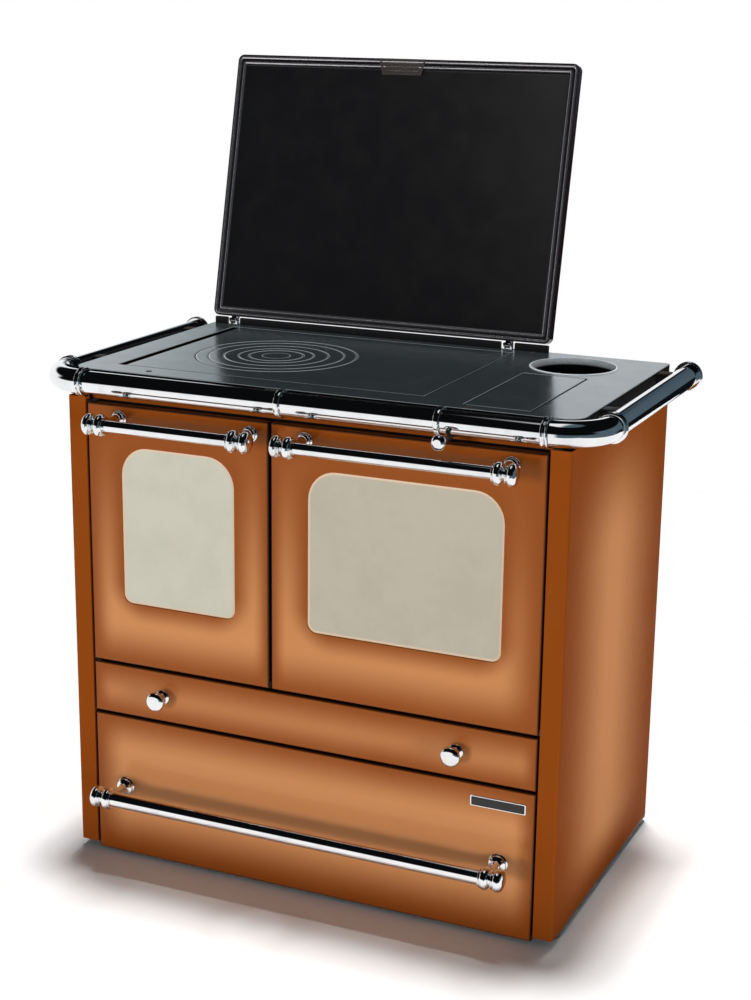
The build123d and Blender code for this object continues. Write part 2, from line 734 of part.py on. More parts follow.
def hob_frame():
    """Cast hob: rim, plate, ledge for the ring plate, sunk pad and flue outlet."""
    hob = extrude(Plane.XY.offset(skirt_bottom) * hob_plan(0), amount=hob_skirt)
    hob -= extrude(Plane.XY.offset(skirt_bottom) * hob_plan(hob_skirt_thickness), amount=hob_skirt - hob_plate)
    hob = chamfer(hob.faces().sort_by(Axis.Z)[-1].edges(), hob_edge_chamfer)
    ledge = plate_ledge
    low = hob_under - plate_ledge_thickness
    hob += block(plate_left - ledge, plate_right + ledge, plate_front - ledge, plate_rear + ledge, low, hob_under)
    hob -= block(plate_left, plate_right, plate_front, plate_rear, hob_under, hob_top)
    hob -= block(plate_left + ledge, plate_right - ledge, plate_front + ledge, plate_rear - ledge, low, hob_top)
    hob -= hob_pad()
    return hob - rod_z(flue_x, flue_y, hob_under, hob_top, flue_radius + flue_wall + flue_fit)


def hob_pad():
    """Shallow sunk pad in front of the flue, with sloping edges."""
    x0, x1 = hob_half - pad_left_margin, hob_half - pad_right_margin
    y0, y1 = hob_front + pad_front_margin, flue_y - pad_rear_gap
    top = Plane(((x0 + x1) / 2, (y0 + y1) / 2, hob_top))
    return extrude(top * Rectangle(x1 - x0, y1 - y0), amount=-pad_sink, taper=45)


def round_groove(radius):
    """V-shaped ring groove in the hob's top."""
    half = groove_width / 2
    return turned((radius - half, hob_top), (radius, hob_top - groove_depth), (radius + half, hob_top))


def ring_plate():
    """Loose plate over the firebox with the tapered seat of the outer ring."""
    plate = block(plate_left + plate_slot, plate_right - plate_joint, plate_front + plate_joint,
                  plate_rear - plate_joint, hob_under, hob_top)
    seat = ring_radii[-1] + ring_joint
    hole = turned((0, hob_under), (seat - ring_taper, hob_under), (seat, hob_top), (0, hob_top))
    return plate - Pos(ring_x, ring_y, 0) * (hole + round_groove(plate_groove_radius))


def hob_ring(inner, outer):
    """Loose ring, tapered inside and outside so that each one hangs in the next."""
    seat = inner + ring_joint
    ring = turned((seat - ring_taper, hob_under), (outer - ring_taper, hob_under), (outer, hob_top),
                  (seat, hob_top))
    return Pos(ring_x, ring_y, 0) * ring


def hob_disc():
    """Centre lid with a ring groove and a slot for the lifter."""
    outer = ring_radii[0]
    disc = turned((0, hob_under), (outer - ring_taper, hob_under), (outer, hob_top), (0, hob_top))
    length, width = lifter_slot
    slot = Box(length, width, 2 * lifter_slot_depth)
    disc -= Pos(0, width - disc_groove_radius / 2, hob_top) * slot
    return Pos(ring_x, ring_y, 0) * (disc - round_groove(disc_groove_radius))


# ---------------------------------------------------------------- towel rail
def rail_elbows():
    """Quarter bends at the two front corners."""
    x = rail_side - rail_bend
    mouth = Plane((x, rail_front, rail_z), x_dir=(0, 1, 0), z_dir=(1, 0, 0))
    turn_axis = Axis((x, rail_front + rail_bend, rail_z), (0, 0, 1))
    return both_sides(revolve(mouth * Circle(rail_radius + rail_elbow_swell), turn_axis, 90))


def rail_tubes():
    """Front tube between the elbows' collars, and a tube along each side of the hob."""
    reach = rail_side - rail_bend - collar_length
    front = rod_x(-reach, reach, rail_front, rail_z, rail_radius)
    start = rail_front + rail_bend + collar_length
    return [front] + both_sides(rod_y(-rail_side, start, rail_end, rail_z, rail_radius))


def bead(radius, length):
    """Turned bead with broken edges, along Z from 0."""
    edge = length / 4
    return turned((0, 0), (radius - edge, 0), (radius, edge), (radius, length - edge), (radius - edge, length),
                  (0, length))


def rail_collars():
    """Beads between tubes and elbows, two rings on the front tube and the rear end caps."""
    reach = rail_side - rail_bend
    joint = bead(collar_radius, collar_length)
    pieces = both_sides(Pos(-reach, rail_front, rail_z) * Rot(0, 90, 0) * joint)
    pieces += both_sides(Pos(-rail_side, rail_front + rail_bend, rail_z) * Rot(-90, 0, 0) * joint)
    half = rail_ring_length / 2
    for x in rail_ring_x:
        ring = rod_x(x - half, x + half, rail_front, rail_z, rail_ring_radius)
        pieces.append(ring - rod_x(x - half, x + half, rail_front, rail_z, rail_radius + rail_seat))
    r, length = rail_cap_radius, rail_cap_length
    cap = turned((0, 0), (r, 0), (r, length * 0.6), (r * 0.6, length), (0, length))
    return pieces + both_sides(Pos(-rail_side, rail_end, rail_z) * Rot(-90, 0, 0) * cap)


def rail_brackets():
    """Cast saddles between the hob rim and the tubes."""
    low, high = hob_top - rail_bracket_height, hob_top - hob_edge_chamfer
    bore = rail_radius + rail_seat
    half = rail_bracket_width / 2
    pieces = []
    for y in (hob_front + rail_bracket_ends[0], rail_end - rail_bracket_ends[1]):
        saddle = block(-rail_side + rail_radius / 2, -hob_half, y - half, y + half, low, high)
        pieces += both_sides(saddle - rod_y(-rail_side, y - half, y + half, rail_z, bore))
    half = rail_front_bracket_width / 2
    x0, x1 = rail_bracket_x - half, rail_bracket_x + half
    front = block(x0, x1, rail_front + rail_radius / 2, hob_front, low, high)
    pieces.append(front - rod_x(x0, x1, rail_front, rail_z, bore))
    return pieces


# ---------------------------------------------------------------- hob cover, drawn shut
def cover_layer(inset, z0, z1):
    """Slab with the cover's outline, drawn in by an inset."""
    width = cover_right - cover_left - 2 * inset
    depth = cover_rear - cover_front - 2 * inset
    plan = RectangleRounded(width, depth, max(cover_corner - inset, cover_inner_corner))
    return extrude(Pos(cover_middle, (cover_front + cover_rear) / 2, z0) * plan, amount=z1 - z0)


def cover_shell():
    """Pressed cover with bevelled upper edges, a folded lip and a notch for the pull."""
    shell = cover_layer(0, cover_under, cover_top)
    shell = chamfer(shell.faces().sort_by(Axis.Z)[-1].edges(), cover_edge)
    shell -= cover_layer(cover_sheet, cover_under + cover_sheet, cover_top - cover_edge)
    shell -= cover_layer(cover_lip, cover_under, cover_under + cover_sheet)
    return shell - pull_plate(cover_under, cover_under + cover_sheet, cover_pull_fit)


def cover_tray():
    """Stepped inner tray, the dark face that shows when the cover is up."""
    t = cover_tray_sheet
    z = cover_under + cover_sheet
    low, high = z, z + cover_tray_drop
    edge = cover_lip + cover_tray_border
    tray = cover_layer(cover_sheet + cover_tray_fit, low, low + t) - cover_layer(edge, low, low + t)
    return tray + cover_layer(edge - t, low, high + t) - cover_layer(edge, low, high)


def pull_plate(z0, z1, grow):
    """Trapezoid of the finger pull, wide at the cover's front edge."""
    wide = cover_pull_width / 2 + grow
    root = cover_pull_root / 2 + grow
    y0, y1 = cover_front, cover_front + cover_pull_depth + grow
    outline = Polyline((cover_middle - wide, y0), (cover_middle + wide, y0), (cover_middle + root, y1),
                       (cover_middle - root, y1), close=True)
    return extrude(Plane.XY.offset(z0) * make_face(outline), amount=z1 - z0)


def cover_pull():
    """Ribbed finger pull let into the lip of the cover."""
    z0, z1 = cover_under, cover_under + cover_sheet
    pull = pull_plate(z0, z1, 0)
    pitch = cover_pull_depth / (cover_pull_grooves + 1)
    half = cover_pull_root / 2 - cover_pull_groove
    for n in range(cover_pull_grooves):
        y = cover_front + (n + 1) * pitch
        pull -= block(cover_middle - half, cover_middle + half, y - cover_pull_groove / 2,
                      y + cover_pull_groove / 2, z0, z0 + cover_sheet / 2)
    return pull


def hinge_barrel(x, length, radius):
    """Cylinder on the cover's hinge axis."""
    return rod_x(x - length / 2, x + length / 2, cover_hinge_y, cover_hinge_z, radius)


def cover_hinge_leaves():
    """Leaf on the cover: wall plate, arm and knuckle."""
    leaves = []
    middle = cover_under + cover_height / 2
    half = knuckle_length / 2
    for x in cover_hinge_x:
        leaf = block(x - half, x + half, cover_rear, cover_rear + cover_sheet, middle - cover_leaf_height / 2,
                     middle + cover_leaf_height / 2)
        leaf += block(x - half, x + half, cover_rear, cover_hinge_y, cover_hinge_z - knuckle_half / 2,
                      cover_hinge_z + knuckle_half / 2)
        leaf += hinge_barrel(x, knuckle_length, knuckle_half)
        leaves.append(leaf - hinge_barrel(x, knuckle_length, cover_pin_radius + running_gap))
    return leaves


def cover_hinge_brackets():
    """Fixed half of each hinge: foot on the hob and two ears."""
    brackets = []
    y0, y1 = cover_hinge_y - knuckle_half, cover_hinge_y + knuckle_half
    inner = knuckle_length / 2 + cover_ear_gap
    outer = inner + cover_ear
    wing = outer + cover_bracket_wing
    for x in cover_hinge_x:
        bracket = block(x - wing, x + wing, y0, y1, hob_top, hob_top + cover_bracket_plate)
        for side in (x - outer, x + inner):
            bracket += block(side, side + cover_ear, y0, y1, hob_top, cover_hinge_z + knuckle_half)
        brackets.append(bracket - hinge_barrel(x, 2 * outer, cover_pin_radius + running_gap))
    return brackets


def cover_hinge_pins():
    """Pin through the ears and the knuckle of each hinge."""
    length = knuckle_length + 2 * (cover_ear_gap + cover_ear)
    return [hinge_barrel(x, length, cover_pin_radius) for x in cover_hinge_x]


def opened(piece):
    """Cover pieces turned from shut to their open rest."""
    pieces = piece if isinstance(piece, list) else [piece]
    return [shape.rotate(cover_axis, -(90 + cover_lean)) for shape in pieces]


# ---------------------------------------------------------------- fronts
def front_pan(x0, x1, z0, z1):
    """Pressed front: a sheet with rounded edges and returns all round, open behind."""
    pan = block(x0, x1, 0, front_depth, z0, z1)
    pan = fillet(pan.faces().sort_by(Axis.Y)[0].edges(), edge_round)
    return pan - block(x0 + sheet, x1 - sheet, sheet, front_depth, z0 + sheet, z1 - sheet)


def window_cut(x0, x1, grow, y0, y1):
    """Window shape with its large upper corners, grown on all sides."""
    return upright_panel(x0 - grow, x1 + grow, window_bottom - grow, window_top + grow, y0, y1,
                         window_top_round + grow, window_bottom_round + grow)


def seal_ring(x0, x1, y0, y1):
    """Sealing rope round a mouth of the facade."""
    wide = seal_margin + seal_width / 2
    slim = seal_margin - seal_width / 2
    r = seal_round
    outer = upright_panel(x0 - wide, x1 + wide, mouth_bottom - wide, mouth_top + wide, y0, y1, r, r)
    r -= seal_width
    return outer - upright_panel(x0 - slim, x1 + slim, mouth_bottom - slim, mouth_top + slim, y0, y1, r, r)


def door_frame(door_edges, window_edges, mouth_edges):
    """Cast inner frame: plate, rim that holds the glass, and the rope's groove."""
    i = door_frame_inset
    x0, x1 = door_edges
    plate = block(x0 + i, x1 - i, front_depth, door_back, door_bottom + i, door_top - i)
    rim_front = sheet + 2 * glass_gap + glass_thickness
    plate += window_cut(*window_edges, glass_margin, rim_front, front_depth)
    plate -= window_cut(*window_edges, 0, rim_front, door_back)
    return plate - seal_ring(*mouth_edges, door_back - seal_groove, door_back)


def door(door_edges, window_edges, mouth_edges, hinge_blocks, hinge_axis):
    """Skin, inner frame with its hinge blocks, glass and rope of one door."""
    skin = front_pan(*door_edges, door_bottom, door_top) - window_cut(*window_edges, 0, 0, sheet)
    inner = door_frame(door_edges, window_edges, mouth_edges) + hinge_blocks
    inner -= hinge_axis(hinge_pin_radius + running_gap)
    skin -= hinge_axis(hinge_pin_radius + passing_gap)
    y0 = sheet + glass_gap
    glass = window_cut(*window_edges, glass_margin, y0, y0 + glass_thickness)
    seal = seal_ring(*mouth_edges, door_back - seal_groove, facade_front - seal_gap)
    return skin, inner, glass, seal


def firebox_door():
    """Side-hung door with its pins' blocks in the two left corners."""
    near = sheet + glass_gap
    x0, x1 = fire_door_left + near, fire_door_left + hinge_block
    low, high = door_bottom + near, door_top - near
    spans = ((low, low + hinge_pin_length), (high - hinge_pin_length, high))
    blocks = [block(x0, x1, near, door_back, z0, z1) for z0, z1 in spans]
    edges = (fire_door_left, fire_door_right)
    window = (fire_door_left + fire_window_side, fire_door_right - fire_window_side)

    def hinge_axis(radius):
        return rod_z(fire_hinge_x, hinge_inset, door_bottom, door_top, radius)

    return door(edges, window, (fire_left, fire_right), blocks, hinge_axis)


def oven_door():
    """Drop-down door with its pins' blocks in the two lower corners."""
    near = sheet + glass_gap
    z0, z1 = door_bottom + near, door_bottom + hinge_block
    left, right = oven_door_left + near, oven_door_right - near
    spans = ((left, left + hinge_pin_length), (right - hinge_pin_length, right))
    blocks = [block(x0, x1, near, door_back, z0, z1) for x0, x1 in spans]
    edges = (oven_door_left, oven_door_right)
    window = (oven_door_left + oven_window_side, oven_door_right - oven_window_side)

    def hinge_axis(radius):
        return rod_x(oven_door_left, oven_door_right, hinge_inset, oven_hinge_z, radius)

    return door(edges, window, (oven_left, oven_right), blocks, hinge_axis)


def door_hinge_pins():
    """Two pins of the firebox door and two of the oven door, each through its lug."""
    reach = lug_gap + hinge_lug
    low = rod_z(fire_hinge_x, hinge_inset, door_bottom - reach, door_bottom + hinge_pin_length, hinge_pin_radius)
    high = rod_z(fire_hinge_x, hinge_inset, door_top - hinge_pin_length, door_top + reach, hinge_pin_radius)
    left = rod_x(door_split - hinge_lug / 2, oven_door_left + hinge_pin_length, hinge_inset, oven_hinge_z,
                 hinge_pin_radius)
    right = rod_x(oven_door_right - hinge_pin_length, right_lug_x + hinge_lug / 2, hinge_inset, oven_hinge_z,
                  hinge_pin_radius)
    return [low, high, left, right]


# ---------------------------------------------------------------- handles and knobs
def handle_fitting(x, z, bar_radius, outward):
    """Turned fitting at one end of a bar: two lobes with a neck, on a post with a foot."""
    lobe = bar_radius + fitting_lobe
    neck = bar_radius - fitting_waist
    half = fitting_half
    start = half + fitting_neck
    length = finial_reach - start
    lobes = turned((0, -half), (lobe * 0.8, -half), (lobe, -half / 3), (lobe, half / 3), (neck, half),
                   (neck, start), (lobe, start + length / 3), (lobe, start + length * 2 / 3),
                   (lobe * 0.6, finial_reach), (0, finial_reach))
    foot = lobe - fitting_foot
    rise = bar_reach - lobe / 2
    post = turned((0, 0), (foot, 0), (foot, post_foot), (post_radius, 2 * post_foot), (post_radius, rise),
                  (0, rise))
    placed = Pos(x, -bar_reach, z) * Rot(0, 90 * outward, 0) * lobes
    return placed + Pos(x, 0, z) * Rot(90, 0, 0) * post


def bar_handle(left, right, z, bar_radius):
    """Bar between two fittings, and the fittings."""
    bar = rod_x(left + fitting_half, right - fitting_half, -bar_reach, z, bar_radius)
    return bar, [handle_fitting(left, z, bar_radius, -1), handle_fitting(right, z, bar_radius, 1)]


def ash_drawer_knobs():
    """Two turned knobs on the ash drawer."""
    r, length = knob_radius, knob_reach
    knob = turned((0, 0), (r * 0.75, 0), (r * 0.75, length * 0.15), (r * 0.42, length * 0.28),
                  (r * 0.42, length * 0.5), (r, length * 0.66), (r, length * 0.86), (r * 0.65, length), (0, length))
    z = (ash_front_bottom + ash_front_top) / 2
    return both_sides(Pos(knob_inset - front_half, 0, z) * Rot(90, 0, 0) * knob)


# ---------------------------------------------------------------- drawers
def drawer_box(z0, z1, front_low, front_high):
    """Sheet drawer with a backing plate behind its front."""
    box = block(-box_half, box_half, front_depth, box_back, z0, z1)
    box -= block(-box_half + box_wall, box_half - box_wall, backing_back, box_back - box_wall, z0 + box_wall, z1)
    edge = front_half - backing_inset
    return box + block(-edge, edge, front_depth, backing_back, front_low + backing_inset,
                       front_high - backing_inset)


def ash_drawer_box():
    """Shallow full-width drawer that carries the ash pan."""
    return drawer_box(ash_box_z, ash_box_z + ash_box_height, ash_front_bottom, ash_front_top)


def wood_drawer_box():
    """Deep drawer for logs."""
    return drawer_box(wood_box_z, wood_front_top - wood_box_drop, wood_front_bottom, wood_front_top)


def ash_pan():
    """Loose ash pan with a flat rim, below the grate."""
    z0 = ash_box_z + box_wall
    z1 = z0 + ash_pan_height
    x0, x1 = fire_left - ash_pan_side, fire_right + ash_pan_side
    y0, y1 = backing_back + box_wall, box_back - ash_pan_rear_gap
    rim = ash_pan_rim
    pan = block(x0, x1, y0, y1, z0, z1)
    pan += block(x0 - rim, x1 + rim, y0, y1 + rim, z1 - box_wall, z1)
    return pan - block(x0 + box_wall, x1 - box_wall, y0 + box_wall, y1 - box_wall, z0 + box_wall, z1)


def drawer_runners():
    """Angle runners on the liner, a pair for each drawer."""
    runners = []
    inner = -box_half + runner_overlap
    y0, y1 = facade_back + runner_end_gap, liner_rear - runner_end_gap
    for z in (wood_runner_z, ash_runner_z):
        rail = block(-liner_half, inner, y0, y1, z, z + runner_thickness)
        rail += block(-liner_half, -liner_half + runner_thickness, y0, y1, z, z + runner_leg)
        runners += both_sides(rail)
    return runners


# ---------------------------------------------------------------- assembly
def build_parts():
    """Every node of the stove, by name."""
    left_panel, right_panel = both_sides(side_panel())
    fire_skin, fire_inner, fire_glass, fire_seal = firebox_door()
    oven_skin, oven_inner, oven_glass, oven_seal = oven_door()
    fire_bar, fire_fittings = bar_handle(
        fire_door_left + fire_post_insets[0], fire_door_right - fire_post_insets[1], door_bar_z, door_bar_radius)
    oven_bar, oven_fittings = bar_handle(
        oven_door_left + oven_post_insets[0], oven_door_right - oven_post_insets[1], door_bar_z, door_bar_radius)
    wood_bar, wood_fittings = bar_handle(
        -front_half + wood_post_inset, front_half - wood_post_inset, wood_bar_z, wood_bar_radius)
    return {
        "levelling_feet": levelling_feet(),
        "base_frame": base_frame(),
        "side_panel_left": left_panel,
        "side_panel_right": right_panel,
        "back_panel": back_panel(),
        "back_screws": back_screws(),
        "top_fascia": top_fascia(),
        "front_frame": front_frame(),
        "inner_liner": inner_liner(),
        "middle_deck": middle_deck(),
        "lower_shelf": lower_shelf(),
        "drawer_runners": drawer_runners(),
        "firebox_shell": firebox_shell(),
        "firebricks": firebricks(),
        "fire_grate": fire_grate(),
        "oven_box": oven_box(),
        "rack_rails": rack_rails(),
        "oven_rack": oven_rack(),
        "baking_tray": baking_tray(),
        "smoke_box": smoke_box(),
        "flue_collar": flue_collar(),
        "damper_gate": damper_gate(),
        "damper_knob": damper_knob(),
        "hob_frame": hob_frame(),
        "ring_plate": ring_plate(),
        "hob_ring_outer": hob_ring(ring_radii[1], ring_radii[2]),
        "hob_ring_middle": hob_ring(ring_radii[0], ring_radii[1]),
        "hob_disc": hob_disc(),
        "rail_tubes": rail_tubes(),
        "rail_elbows": rail_elbows(),
        "rail_collars": rail_collars(),
        "rail_brackets": rail_brackets(),
        "cover_shell": opened(cover_shell()),
        "cover_tray": opened(cover_tray()),
        "cover_pull": opened(cover_pull()),
        "cover_hinge_leaves": opened(cover_hinge_leaves()),
        "cover_hinge_brackets": cover_hinge_brackets(),
        "cover_hinge_pins": cover_hinge_pins(),
        "firebox_door_skin": fire_skin,
        "firebox_door_frame": fire_inner,
        "firebox_door_glass": fire_glass,
        "firebox_door_seal": fire_seal,
        "firebox_handle_bar": fire_bar,
        "firebox_handle_posts": fire_fittings,
        "oven_door_skin": oven_skin,
        "oven_door_frame": oven_inner,
        "oven_door_glass": oven_glass,
        "oven_door_seal": oven_seal,
        "oven_handle_bar": oven_bar,
        "oven_handle_posts": oven_fittings,
        "door_hinge_pins": door_hinge_pins(),
        "ash_drawer_front": front_pan(-front_half, front_half, ash_front_bottom, ash_front_top),
        "ash_drawer_box": ash_drawer_box(),
        "ash_drawer_knobs": ash_drawer_knobs(),
        "ash_pan": ash_pan(),
        "wood_drawer_front": front_pan(-front_half, front_half, wood_front_bottom, wood_front_top),
        "wood_drawer_box": wood_drawer_box(),
        "wood_handle_bar": wood_bar,
        "wood_handle_posts": wood_fittings,
    }


def node_shape(piece):
    """A node as one solid, or as a group of separate solids."""
    pieces = piece if isinstance(piece, list) else [piece]
    solids = [solid for shape in pieces for solid in shape.solids()]
    return solids[0] if len(solids) == 1 else Compound(solids)


def floor_origin(shapes):
    """Point on the floor under the middle of the whole stove."""
    boxes = [shape.bounding_box() for shape in shapes]
    x = (min(box.min.X for box in boxes) + max(box.max.X for box in boxes)) / 2
    y = (min(box.min.Y for box in boxes) + max(box.max.Y for box in boxes)) / 2
    return x, y, min(box.min.Z for box in boxes)


def main():
    os.makedirs("parts", exist_ok=True)
    nodes = {name: node_shape(piece) for name, piece in build_parts().items()}
    x, y, z = floor_origin(nodes.values())
    print("origin in drawing coordinates", x, y, z)
    for name, shape in nodes.items():
        export_step(Pos(-x, -y, -z) * shape, f"parts/{name}.step")


main()
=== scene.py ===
import json
from math import atan2, cos, inf, radians, sin, tau

import bmesh
import bpy
from mathutils import Matrix, Vector

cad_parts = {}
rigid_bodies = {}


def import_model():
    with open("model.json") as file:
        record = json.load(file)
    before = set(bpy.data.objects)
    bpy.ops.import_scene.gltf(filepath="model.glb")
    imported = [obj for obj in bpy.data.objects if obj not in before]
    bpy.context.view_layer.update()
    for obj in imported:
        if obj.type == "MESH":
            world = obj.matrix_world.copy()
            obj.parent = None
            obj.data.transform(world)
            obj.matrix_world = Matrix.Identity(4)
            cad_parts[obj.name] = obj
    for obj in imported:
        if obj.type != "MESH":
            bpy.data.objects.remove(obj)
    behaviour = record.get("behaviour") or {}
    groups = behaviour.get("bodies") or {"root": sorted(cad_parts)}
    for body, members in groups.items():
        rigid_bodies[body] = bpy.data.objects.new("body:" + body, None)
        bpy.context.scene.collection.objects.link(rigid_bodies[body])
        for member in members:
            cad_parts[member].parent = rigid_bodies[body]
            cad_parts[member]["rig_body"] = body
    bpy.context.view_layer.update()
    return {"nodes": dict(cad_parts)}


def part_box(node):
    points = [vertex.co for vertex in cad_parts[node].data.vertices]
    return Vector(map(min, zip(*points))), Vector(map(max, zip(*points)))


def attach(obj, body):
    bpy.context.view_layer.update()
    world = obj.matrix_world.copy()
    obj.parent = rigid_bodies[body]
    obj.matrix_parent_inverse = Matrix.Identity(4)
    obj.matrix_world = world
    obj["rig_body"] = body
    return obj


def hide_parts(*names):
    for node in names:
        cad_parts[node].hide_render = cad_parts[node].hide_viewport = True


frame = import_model()
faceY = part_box("ash_drawer_front")[0][1]          # front of the casing, where y = 0 in the sizes below
toRow = Matrix.Translation((0, faceY, 0)) @ Matrix.Scale(0.001, 4)


def addNode(tree, kind, values=None, **settings):
    made = tree.nodes.new("ShaderNode" + kind)
    for key, value in settings.items():
        setattr(made, key, value)
    feed(tree, made.inputs, values or {})
    return made


def feed(tree, sockets, values):
    # a socket is linked, a plain value is set on the socket itself
    for key, value in values.items():
        if isinstance(value, bpy.types.NodeSocket):
            tree.links.new(value, sockets[key])
        else:
            sockets[key].default_value = value


def calc(tree, operation, *values, clamp=False):
    made = addNode(tree, "Math", dict(enumerate(values)), operation=operation, use_clamp=clamp)
    return made.outputs[0]


def ramp(tree, value, start, end, low=0.0, high=1.0):
    made = addNode(tree, "MapRange", {"Value": value, "From Min": start, "From Max": end, "To Min": low,
                                      "To Max": high}, interpolation_type="SMOOTHSTEP")
    return made.outputs[0]


def mixed(tree, factor, first, second):
    made = addNode(tree, "Mix", {0: factor, 6: first, 7: second}, data_type="RGBA")
    return made.outputs[2]


def noise(tree, vector, scale, detail, roughness=0.5):
    made = addNode(tree, "TexNoise", {"Vector": vector, "Scale": scale, "Detail": detail,
                                      "Roughness": roughness})
    return made.outputs["Fac"]


def newGroup(name, inputs, outputs):
    # a place and named numbers go in; what comes out are numbers, and a colour if it is called Color
    group = bpy.data.node_groups.new(name, "ShaderNodeTree")
    group.interface.new_socket("Vector", in_out="INPUT", socket_type="NodeSocketVector")
    for label, value in inputs.items():
        socket = group.interface.new_socket(label, in_out="INPUT", socket_type="NodeSocketFloat")
        socket.default_value = value
    for label in outputs:
        kind = "NodeSocketColor" if label == "Color" else "NodeSocketFloat"
        group.interface.new_socket(label, in_out="OUTPUT", socket_type=kind)
    start = group.nodes.new("NodeGroupInput")
    end = group.nodes.new("NodeGroupOutput")
    return group, start.outputs, end.inputs


def useGroup(tree, group, values):
    made = tree.nodes.new("ShaderNodeGroup")
    made.node_tree = group
    feed(tree, made.inputs, values)
    return made.outputs


def makeRoundField():
    # signed distance to a rounded rectangle in the plane of x and z, negative inside
    group, given, result = newGroup(
        "RoundField",
        {"Centre X": 0.0, "Centre Z": 0.0, "Half X": 0.1, "Half Z": 0.1, "Corner": 0.01},
        ["Distance"])
    split = addNode(group, "SeparateXYZ", {0: given["Vector"]})
    spans = []
    for axis in "XZ":
        offset = calc(group, "SUBTRACT", split.outputs[axis], given["Centre " + axis])
        beyond = calc(group, "SUBTRACT", calc(group, "ABSOLUTE", offset), given["Half " + axis])
        spans.append(calc(group, "ADD", beyond, given["Corner"]))
    outside = [calc(group, "MAXIMUM", span, 0.0) for span in spans]
    squares = [calc(group, "MULTIPLY", side, side) for side in outside]
    length = calc(group, "SQRT", calc(group, "ADD", *squares))
    inside = calc(group, "MINIMUM", calc(group, "MAXIMUM", *spans), 0.0)
    total = calc(group, "SUBTRACT", calc(group, "ADD", length, inside), given["Corner"])
    feed(group, result, {"Distance": total})
    return group


roundField = makeRoundField()


def roundDistance(tree, where, box, corner):
    # the box holds left, right, low and high in millimetres, the corner is in metres
    x0, x1, z0, z1 = (edge / 1000 for edge in box)
    return useGroup(tree, roundField, {
        "Vector": where, "Centre X": (x0 + x1) / 2, "Centre Z": (z0 + z1) / 2, "Half X": (x1 - x0) / 2,
        "Half Z": (z1 - z0) / 2, "Corner": corner})["Distance"]


def makePillowField():
    # 1 in the middle of a panel, falling smoothly to 0 at its edges
    group, given, result = newGroup(
        "PillowField",
        {"Left": -0.1, "Right": 0.1, "Low": 0.0, "High": 0.1, "Fall Left": 0.03, "Fall Right": 0.03,
         "Fall Low": 0.05, "Fall High": 0.05},
        ["Middle"])
    split = addNode(group, "SeparateXYZ", {0: given["Vector"]})
    total = None
    for axis, start, end in (("X", "Left", "Right"), ("Z", "Low", "High")):
        for near, sign in ((start, 1.0), (end, -1.0)):
            gap = calc(group, "MULTIPLY", calc(group, "SUBTRACT", split.outputs[axis], given[near]), sign)
            part = ramp(group, calc(group, "DIVIDE", gap, given["Fall " + near]), 0.0, 1.0)
            total = part if total is None else calc(group, "MULTIPLY", total, part)
    feed(group, result, {"Middle": total})
    return group


pillowField = makePillowField()


def newMaterial(name):
    material = bpy.data.materials.new(name)
    material.use_nodes = True
    tree = material.node_tree
    shader = tree.nodes["Principled BSDF"]
    place = addNode(tree, "TexCoord").outputs["Object"]
    return material, tree, shader, place


def bumped(tree, shader, height, strength, distance):
    bump = addNode(tree, "Bump", {"Height": height, "Strength": strength, "Distance": distance})
    feed(tree, shader.inputs, {"Normal": bump.outputs[0]})


# the gap shade is painted near black on the fronts' rims, standing for the shade between them
enamelLook = {
    "edge": (0.222, 0.050, 0.0055, 1), "middle": (0.525, 0.222, 0.084, 1), "gapShade": (0.022, 0.008, 0.003, 1),
    "gapShadeRim": (-0.0042, -0.0008), "mottle": 0.10, "rough": (0.12, 0.24), "reflection": (1.0, 0.70, 0.40, 1),
    "rimCorner": 0.003, "haloCorner": 0.045, "peel": (0.05, 0.0003)}


def makeEnamelShade():
    # shading from the dark edge tone to the pale middle, partly the enamel's sprayed tone and partly painted
    # highlight and shade; rims darkened as painted gap shade; mist and orange peel
    group, given, result = newGroup(
        "EnamelShade",
        {"Middle": 1.0, "Window": 1.0, "Window Width": 0.04, "Rim": -1.0, "Paleness": 1.0},
        ["Color", "Roughness", "Height"])
    # darker towards the window: part of the same sprayed tone and painted shade
    halo = ramp(group, calc(group, "DIVIDE", given["Window"], given["Window Width"]), -0.1, 1.0)
    pale = calc(group, "MULTIPLY", calc(group, "MULTIPLY", given["Middle"], halo), given["Paleness"])
    for scale, detail in ((6.0, 3.0), (1100.0, 2.0)):          # wide clouds, then mist
        speck = calc(group, "SUBTRACT", noise(group, given["Vector"], scale, detail), 0.5)
        pale = calc(group, "ADD", pale, calc(group, "MULTIPLY", speck, enamelLook["mottle"]))
    pale = calc(group, "MULTIPLY", pale, 1.0, clamp=True)
    shaded = mixed(group, pale, enamelLook["edge"], enamelLook["middle"])
    # rims darkened near black: painted shade of the gaps between the fronts
    gapShade = ramp(group, given["Rim"], *enamelLook["gapShadeRim"])
    dust = noise(group, given["Vector"], 40.0, 5.0, 0.6)
    feed(group, result, {
        "Color": mixed(group, gapShade, shaded, enamelLook["gapShade"]),
        "Roughness": ramp(group, dust, 0.3, 0.8, *enamelLook["rough"]),
        "Height": noise(group, given["Vector"], 420.0, 1.0)})
    return group


def makeMetalWear():
    # polish marks, finger smears and fine pits for plated and ground metal
    group, given, result = newGroup(
        "MetalWear", {"Low": 0.03, "High": 0.12, "Grain": 300.0}, ["Smear", "Roughness", "Height"])
    smear = noise(group, given["Vector"], 22.0, 6.0, 0.62)
    rough = addNode(group, "MapRange", {"Value": smear, "From Min": 0.35, "From Max": 0.75,
                                        "To Min": given["Low"], "To Max": given["High"]})
    feed(group, result, {
        "Smear": smear, "Roughness": rough.outputs[0],
        "Height": noise(group, given["Vector"], given["Grain"], 2.0)})
    return group


